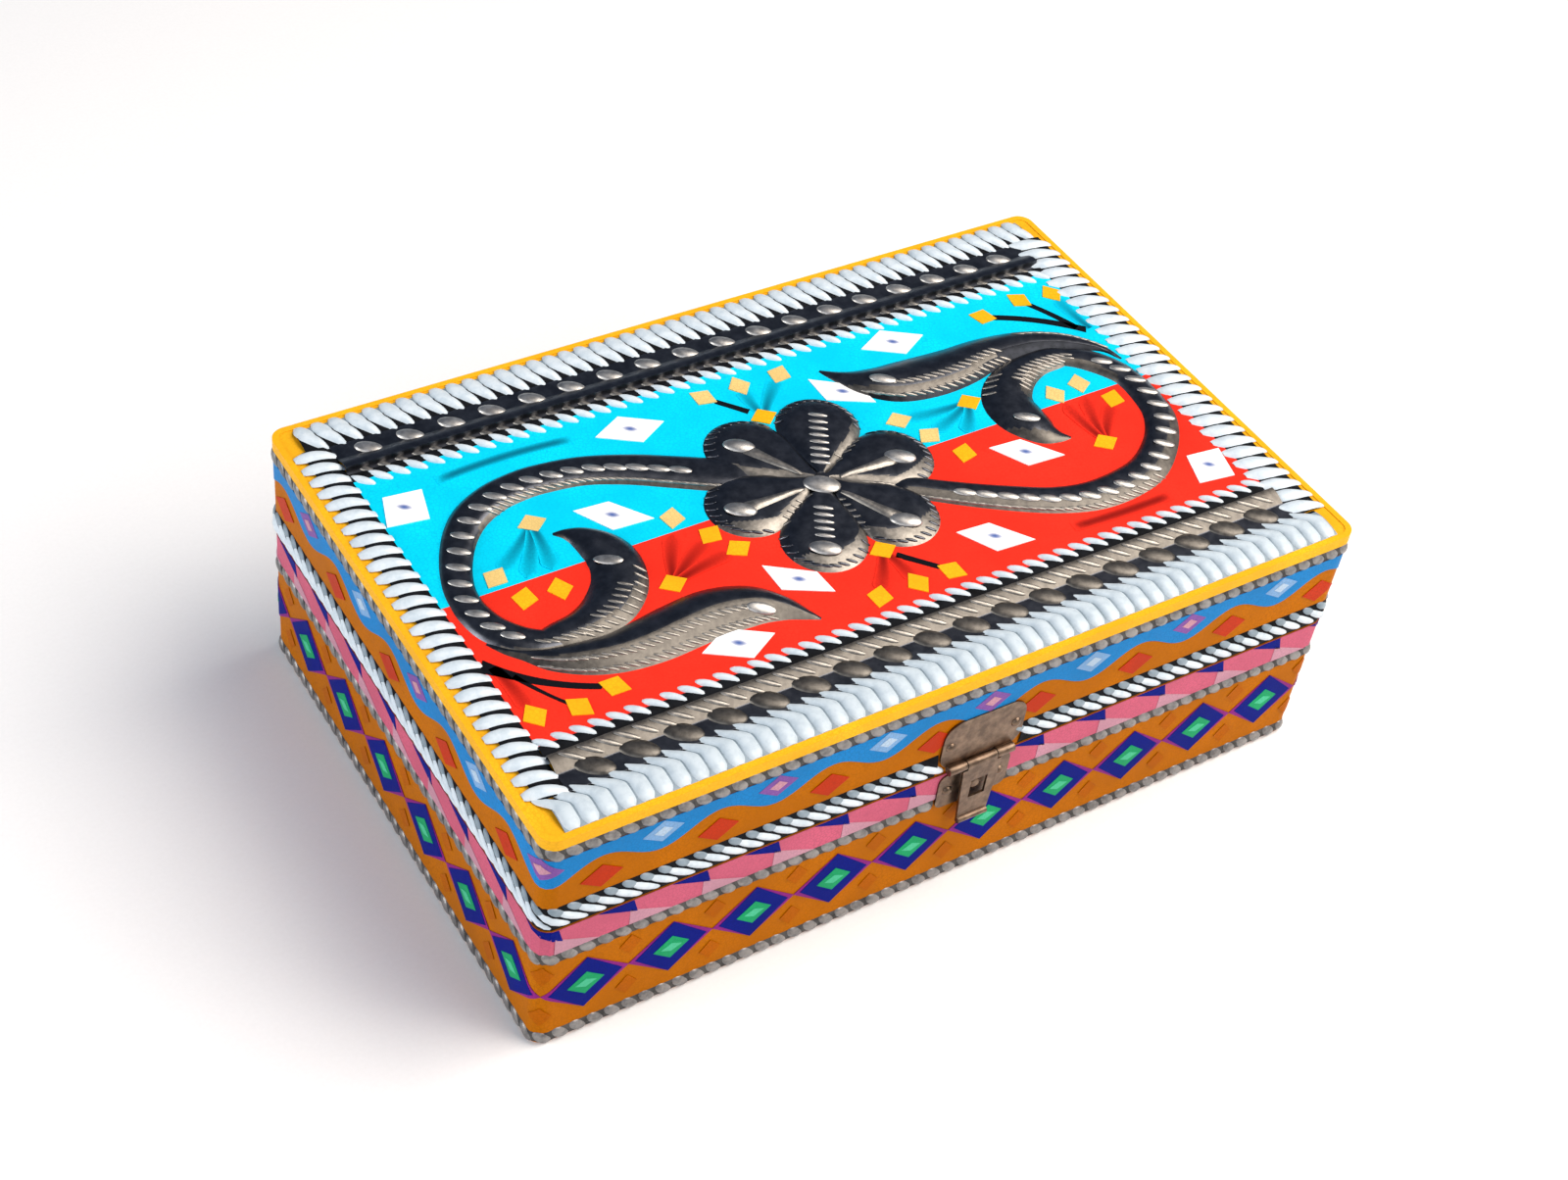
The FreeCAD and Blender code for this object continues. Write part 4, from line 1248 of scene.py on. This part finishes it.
def relief(name, line, rise, left_fall, right_fall, across=16):
    """Band with its crest in the middle: a high fall is flat on top, a fall near 1 is an even slope."""
    full = max(point.z for point in line)

    def place(u, v):
        index = round(u * (len(line) - 1))
        here = line[index]
        ahead = line[min(index + 1, len(line) - 1)] - line[max(index - 1, 0)]
        side = Vector((-ahead.y, ahead.x, 0)).normalized()
        aside = 2 * v - 1
        ends = min(1.0, end_rate * u, end_rate * (1 - u))
        share = 1 - abs(aside) ** (left_fall if aside > 0 else right_fall)
        spot = Vector((here.x, here.y, film_level)) + side * (aside * here.z / 2)
        return spot + Vector((0, 0, rise * ends * min(1.0, here.z / full * width_gain) * share))
    piece = surface(name, len(line) - 1, across, place)
    close(piece)
    return piece


# Each part gives the slope past which its faces toward the front take a paler steel, painted reflection, and
# limits beyond which they take a darker one, painted shade.
no_limits = (1.0, 1.0)
scroll_rises = {"arm": 0.0018, "blade": 0.0023, "leaf": 0.0028}
scroll_shapes = {
    "left": [("arm", left_arm, (4.0, 4.0), 0.45, no_limits),
             ("blade", left_blade, (2.6, 2.6), 0.20, no_limits),
             ("leaf", left_leaf, (2.2, 1.2), 0.20, no_limits)],
    "right": [("arm", right_arm, (4.0, 2.0), 0.15, no_limits),
              ("blade", right_blade, (2.6, 2.6), 0.20, no_limits),
              ("leaf", right_leaf, (2.6, 1.8), 0.24, (0.47, 0.072))],
}
scroll_lines = {}
scrolls = {}
for side, shapes in scroll_shapes.items():
    lines = []
    parts = []
    for kind, points, falls, slope, limits in shapes:
        line = smooth_line(points)
        part = relief(kind, line, scroll_rises[kind], *falls)
        dress(part, blued_steel)
        paint_front_slopes(part, slope, *limits)
        lines.append(line)
        parts.append(part)
    scrolls[side] = join(side + "_scroll_sheet", parts)
    smooth(scrolls[side], 70)
    scroll_lines[side] = lines

# %% [markdown]
# ### Strokes on the scrolls
# A row of dashes follows the middle of each arm, and fine ticks are scored along its edge and along the
# blade and the leaf. Each row keeps a share of the band's half width from the middle, and covers only
# part of its length. Every blade and every leaf also has one oval boss.

# %% Dashes, ticks and bosses on the scrolls
def along_line(line, gap, offset=0.0, first=0.0, last=1.0):
    """Plan points every gap along a line, set aside by a share of half the width."""
    lengths = [0.0]
    for a, b in zip(line, line[1:]):
        lengths.append(lengths[-1] + (b - a).to_2d().length)
    spots = []
    target = first * lengths[-1] + gap / 2
    for (a, b), begin, end in zip(zip(line, line[1:]), lengths, lengths[1:]):
        while begin <= target < end and target < last * lengths[-1]:
            here = a.lerp(b, (target - begin) / (end - begin))
            ahead = (b - a).to_2d().normalized()
            spots.append((here.x - ahead.y * offset * here.z / 2, here.y + ahead.x * offset * here.z / 2))
            target += gap
    return spots


sight_shift = -0.0011
dash_gap = 0.0056
dash_span = (0.12, 0.88)
arm_tick_gap = 0.0022
arm_tick_span = (0.06, 0.52)
blade_tick_gap = 0.0021
leaf_tick_gap = 0.0023
arm_tick_share = 0.80
blade_strokes = {"left": [(-0.72, 0.22, 0.62), (-0.20, 0.30, 0.55), (-0.50, 0.05, 0.30)],
                 "right": [(0.66, 0.08, 0.50), (0.25, 0.08, 0.46), (-0.72, 0.46, 0.62)]}
leaf_strokes = {"left": [(-0.30, 0.14, 0.84), (-0.80, 0.16, 0.88)],
                "right": [(0.30, 0.42, 0.84), (0.80, 0.40, 0.86), (-0.60, 0.06, 0.34)]}
scroll_bosses = {"left": [(-0.0650, -0.0038), (-0.0392, -0.0343)],
                 "right": [(0.0638, -0.0030), (0.0362, 0.0262)]}
for side, front in (("left", 1), ("right", -1)):
    arm_line, blade_line, leaf_line = scroll_lines[side]
    scroll = scrolls[side]
    dash_spots = [(x, y + sight_shift) for x, y in along_line(arm_line, dash_gap, 0.0, *dash_span)]
    tick_spots = along_line(arm_line, arm_tick_gap, arm_tick_share * front, *arm_tick_span)
    for offset, first, last in blade_strokes[side]:
        tick_spots += along_line(blade_line, blade_tick_gap, offset, first, last)
    for offset, first, last in leaf_strokes[side]:
        tick_spots += along_line(leaf_line, leaf_tick_gap, offset, first, last)
    dash = half_bead("dash", 0.0062, 0.0024, 0.0005, 10, 8)
    tick = half_bead("tick", 0.0042, 0.0009, 0.0003, *slim_cut)
    boss = half_bead("boss", 0.0076, 0.0032, 0.0006, *round_cut)
    for kind, bead, spots, material in (("dashes", dash, dash_spots, bright_tin),
                                        ("ticks", tick, tick_spots, worn_tin),
                                        ("bosses", boss, scroll_bosses[side], bright_tin)):
        keep(beads_on(side + "_scroll_" + kind, scroll, bead, spots, material), "lid", "dark_steel")
    keep(scroll, "lid", "dark_steel", side + "_scroll")

# %% [markdown]
# ## Folds in the film
# The yellow tabs are the ends of short straps that pull the film into folds. A fold's soft shadow is
# painted:
# each one is a thin strip of the same film that carries a fold value on its points, full along its middle
# and nothing at its edges, and the material darkens by it. The first crease or two of some fans are drawn
# as thin black lines, a painted shadow along the crease.

# %% Fans of folds
fans = [
    ((0.0, 28.6), [(-10.9, 41.9), (0.5, 42.1), (13.0, 41.9)], 1),
    ((0.8, -28.3), [(12.8, -42.1), (2.4, -42.1), (-9.1, -42.1)], 1),
    ((105.6, 21.4), [(79.8, 40.0), (94.0, 42.0), (104.6, 40.8)], 2),
    ((-106.3, -20.6), [(-83.1, -40.3), (-93.7, -42.6), (-104.4, -40.5)], 2),
    ((-74.9, 17.6), [(-91.9, 4.0), (-88.7, -5.4), (-79.4, -6.0)], 0),
    ((79.4, -18.6), [(92.4, -4.7), (87.6, 4.5), (78.6, 3.4)], 0),
    ((-53.5, -16.2), [(-41.9, 4.4), (-36.2, -5.0), (-32.3, -12.2)], 0),
    ((54.6, 10.6), [(32.6, 12.2), (36.8, 3.6), (41.4, -6.2)], 0),
]
film_lift = 0.00012
fold_step = 0.00003
strip_cells = 16
strip_rows = 8


def on_film(x, y):
    """Plan point given in millimetres."""
    return Vector((x, y, 0)) / 1000


def strip(name, start, end, bulge, width_at, shade_and_ink_at, material, lift=film_lift):
    """Thin strip from one plan point to another, with a bulge to one side and a fold value, which the
    material turns into painted shade on folds and grooves and into blue ink on the lozenge dashes.
    """
    side = Vector((start.y - end.y, end.x - start.x, 0)).normalized()

    def place(u, v):
        across = 2 * v - 1
        middle = start.lerp(end, u) + side * (bulge * 4 * u * (1 - u) + across * width_at(u) / 2)
        return Vector((middle.x, middle.y, film_level + lift))
    piece = surface(name, strip_cells, strip_rows, place)
    values = piece.data.attributes.new("fold", "FLOAT", "POINT")
    for index in range(len(piece.data.vertices)):
        u = (index % (strip_cells + 1)) / strip_cells
        across = 2 * (index // (strip_cells + 1)) / strip_rows - 1
        values.data[index].value = shade_and_ink_at(u) * (1 - across ** 2)
    dress(piece, material)
    return piece


# %% [markdown]
# ### Crease shadows, folds and grooves
# Each black line, a painted shadow along a crease, is given by its two ends, how far it bows aside, its
# width and how much it broadens at the root. A fold's painted shade runs from the root of a fan to a tip and
# fades on the way. One that would cross from one film to the other stops short of the seam. Two long
# grooves lie beside the ropes, shown by painted shade.

# %% Lay the crease shadows and folds
crease_shadow_lines = [
    ((-108.4, -21.0), (-85.8, -39.0), -0.0018, 0.0019, 0.0020),
    ((-103.0, -27.2), (-95.4, -40.6), -0.0004, 0.0009, 0.0006),
    ((104.0, 23.2), (82.2, 38.6), -0.0013, 0.0022, 0.0004),
    ((102.0, 25.0), (95.2, 39.6), -0.0004, 0.0018, 0.0004),
    ((-2.6, 32.0), (-8.6, 39.2), 0.0, 0.0017, 0.0003),
    ((3.0, -31.2), (10.6, -39.6), 0.0, 0.0017, 0.0003),
]
grooves = [
    ((-89.5, 41.6), (-50.5, 41.6), 0.0012, fold_shaded_cyan),
    ((51.0, -42.2), (82.5, -43.2), -0.0004, fold_shaded_red),
]
fold_start = 0.10
fold_end = 0.90
seam_stop = 0.96
fold_bow = 0.0004
fold_root_width = 0.0026
fold_widening = 0.0026
fold_tip_rate = 0.0300
fold_tip_width = 0.0004
root_shade = 0.92
shade_loss = 0.60
groove_width = 0.0034
groove_shade = 0.85
groove_end_rate = 4


def fold_width(u):
    """Width of a fold: broader towards its tip, then drawn to a point."""
    return min(fold_root_width + fold_widening * u, fold_tip_rate * (1 - u) + fold_tip_width)


def fold_depth(u):
    """How dark a fold's painted shade is: most at its root."""
    return root_shade - shade_loss * u


def groove_depth(u):
    """How dark a groove's painted shade is: even, and soft at both ends."""
    return groove_shade * min(1.0, groove_end_rate * math.sin(math.pi * u))


shade_strip_pieces = []
for start, end, bulge, slim, root in crease_shadow_lines:
    shade_strip_pieces.append(strip("strap", on_film(*start), on_film(*end), bulge,
                              lambda u: slim + root * (1 - u) ** 3, lambda u: 0.0, black_vinyl))
for root, tips, black in fans:
    start = on_film(*root)
    for number, tip in enumerate(tips[black:]):
        end = on_film(*tip)
        reach = fold_end if start.y * end.y > 0 else seam_stop * start.y / (start.y - end.y)
        material = fold_shaded_cyan if start.y > 0 else fold_shaded_red
        shade_strip_pieces.append(strip("strap", start.lerp(end, fold_start), start.lerp(end, reach), fold_bow,
                                  fold_width, fold_depth, material, film_lift + number * fold_step))
for start, end, bulge, material in grooves:
    shade_strip_pieces.append(strip("groove", on_film(*start), on_film(*end), bulge, lambda u: groove_width,
                              groove_depth, material))
shade_strips = join("fan_straps", shade_strip_pieces)
apply(shade_strips, "SOLIDIFY", thickness=film_lift, offset=-1.0)
keep(shade_strips, "lid", "dark_tape", "stems")

# %% [markdown]
# ### Dashes on the lozenges
# Every white lozenge has a small blue dash in its middle. It is the same kind of strip: its fold value is
# full in the middle and nothing at the edges, and the material turns it into blue ink on white.

# %% Blue dashes on the lozenges
lozenge_places = [
    (-101.0, 35.9), (-35.0, 38.7), (-55.2, 11.7), (25.0, 28.6), (49.5, 40.9),
    (99.8, -38.0), (30.0, -36.4), (56.8, -12.8), (-24.4, -28.3), (-49.4, -40.9),
]
lozenge_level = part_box("lozenges")[1].z
dash_reach = 0.0024
dash_broad = 0.0022
dash_tip = 0.0002
dash_shade = 0.95
half_dash = Vector(polar(dash_reach, stroke_angle)).to_3d()


def dash_width(u):
    """Width of a dash: widest in its middle."""
    return dash_broad * math.sin(math.pi * u) + dash_tip


def dash_ink(u):
    """How blue a dash is: most in its middle."""
    return dash_shade * math.sin(math.pi * u)


dash_pieces = []
for place in lozenge_places:
    middle = on_film(*place)
    piece = strip("dash", middle - half_dash, middle + half_dash, 0.0, dash_width, dash_ink, dashed_white)
    shift(piece, z=lozenge_level - film_level)
    dash_pieces.append(piece)
dashes = join("lozenge_dashes", dash_pieces)
apply(dashes, "SOLIDIFY", thickness=film_lift, offset=-1.0)
keep(dashes, "lid", "white_tape")

# %% [markdown]
# ## Studio
# The camera stands where the photograph was taken. A broad pale floor catches a soft shadow, and the room
# behind the lid stays dim, so that the polished steel has something dark to mirror.

# %% Floor, camera and light
def make_floor():
    """Large pale floor under the box."""
    bpy.ops.object.select_all(action="DESELECT")
    bpy.ops.mesh.primitive_plane_add(size=14)
    floor = bpy.context.object
    floor.name = "floor"
    shift(floor, z=-0.0002)
    material, tree, place = new_material("pale_matt_paper")
    grain = add(tree, "TexNoise", {"Vector": place, "Scale": 900.0, "Detail": 3.0})
    colour = add(tree, "Mix", {0: grain.outputs[0], 6: linear("#FFFFFE"), 7: linear("#F8F8F7")},
                 data_type="RGBA")
    finish_material(tree, {"Base Color": colour.outputs[2], "Roughness": 0.8})
    dress(floor, material)


def make_camera():
    """Camera at the photograph's place, with its slight roll."""
    data = bpy.data.cameras.new("photo_camera")
    data.sensor_width = 36
    data.lens = 57.23
    camera = bpy.data.objects.new("photo_camera", data)
    bpy.context.collection.objects.link(camera)
    right = Vector((0.845602, -0.522113, 0.111152))
    up = Vector((0.298681, 0.635342, 0.712131))
    back = right.cross(up)
    stand = Vector((-0.301917, -0.379931, 0.502891))
    turn = Matrix((right, up, back)).transposed().to_4x4()
    camera.matrix_world = Matrix.Translation(stand) @ turn
    bpy.context.scene.camera = camera


def softbox(name, place, aim, width, height, watts, tint="#FFFFFF"):
    """Rectangular soft light that faces a point."""
    data = bpy.data.lights.new(name, "AREA")
    data.shape = "RECTANGLE"
    data.size = width
    data.size_y = height
    data.energy = watts
    data.color = linear(tint)[:3]
    light = bpy.data.objects.new(name, data)
    bpy.context.collection.objects.link(light)
    facing = (Vector(aim) - Vector(place)).to_track_quat("-Z", "Y")
    light.matrix_world = Matrix.Translation(place) @ facing.to_matrix().to_4x4()


make_floor()
make_camera()
softbox("key_softbox", (0.70, -0.34, 1.10), (0, 0, 0.05), 1.20, 1.20, 25.0, "#FFF6EC")
softbox("front_softbox", (0.55, -0.95, 0.68), (0, 0, 0.07), 0.9, 0.6, 4.0, "#FFF6EC")
softbox("fill_softbox", (-1.0, -0.9, 0.75), (0, 0, 0.05), 0.9, 0.7, 4.0, "#F4F8FF")
softbox("left_softbox", (-1.3, 0.2, 0.5), (0, 0, 0.05), 0.7, 0.6, 9.0)
world = bpy.data.worlds.new("dim_studio")
world.use_nodes = True
world.node_tree.nodes["Background"].inputs["Color"].default_value = linear("#93A6C6")
world.node_tree.nodes["Background"].inputs["Strength"].default_value = 0.32
bpy.context.scene.world = world
bpy.context.scene.view_settings.view_transform = "Standard"
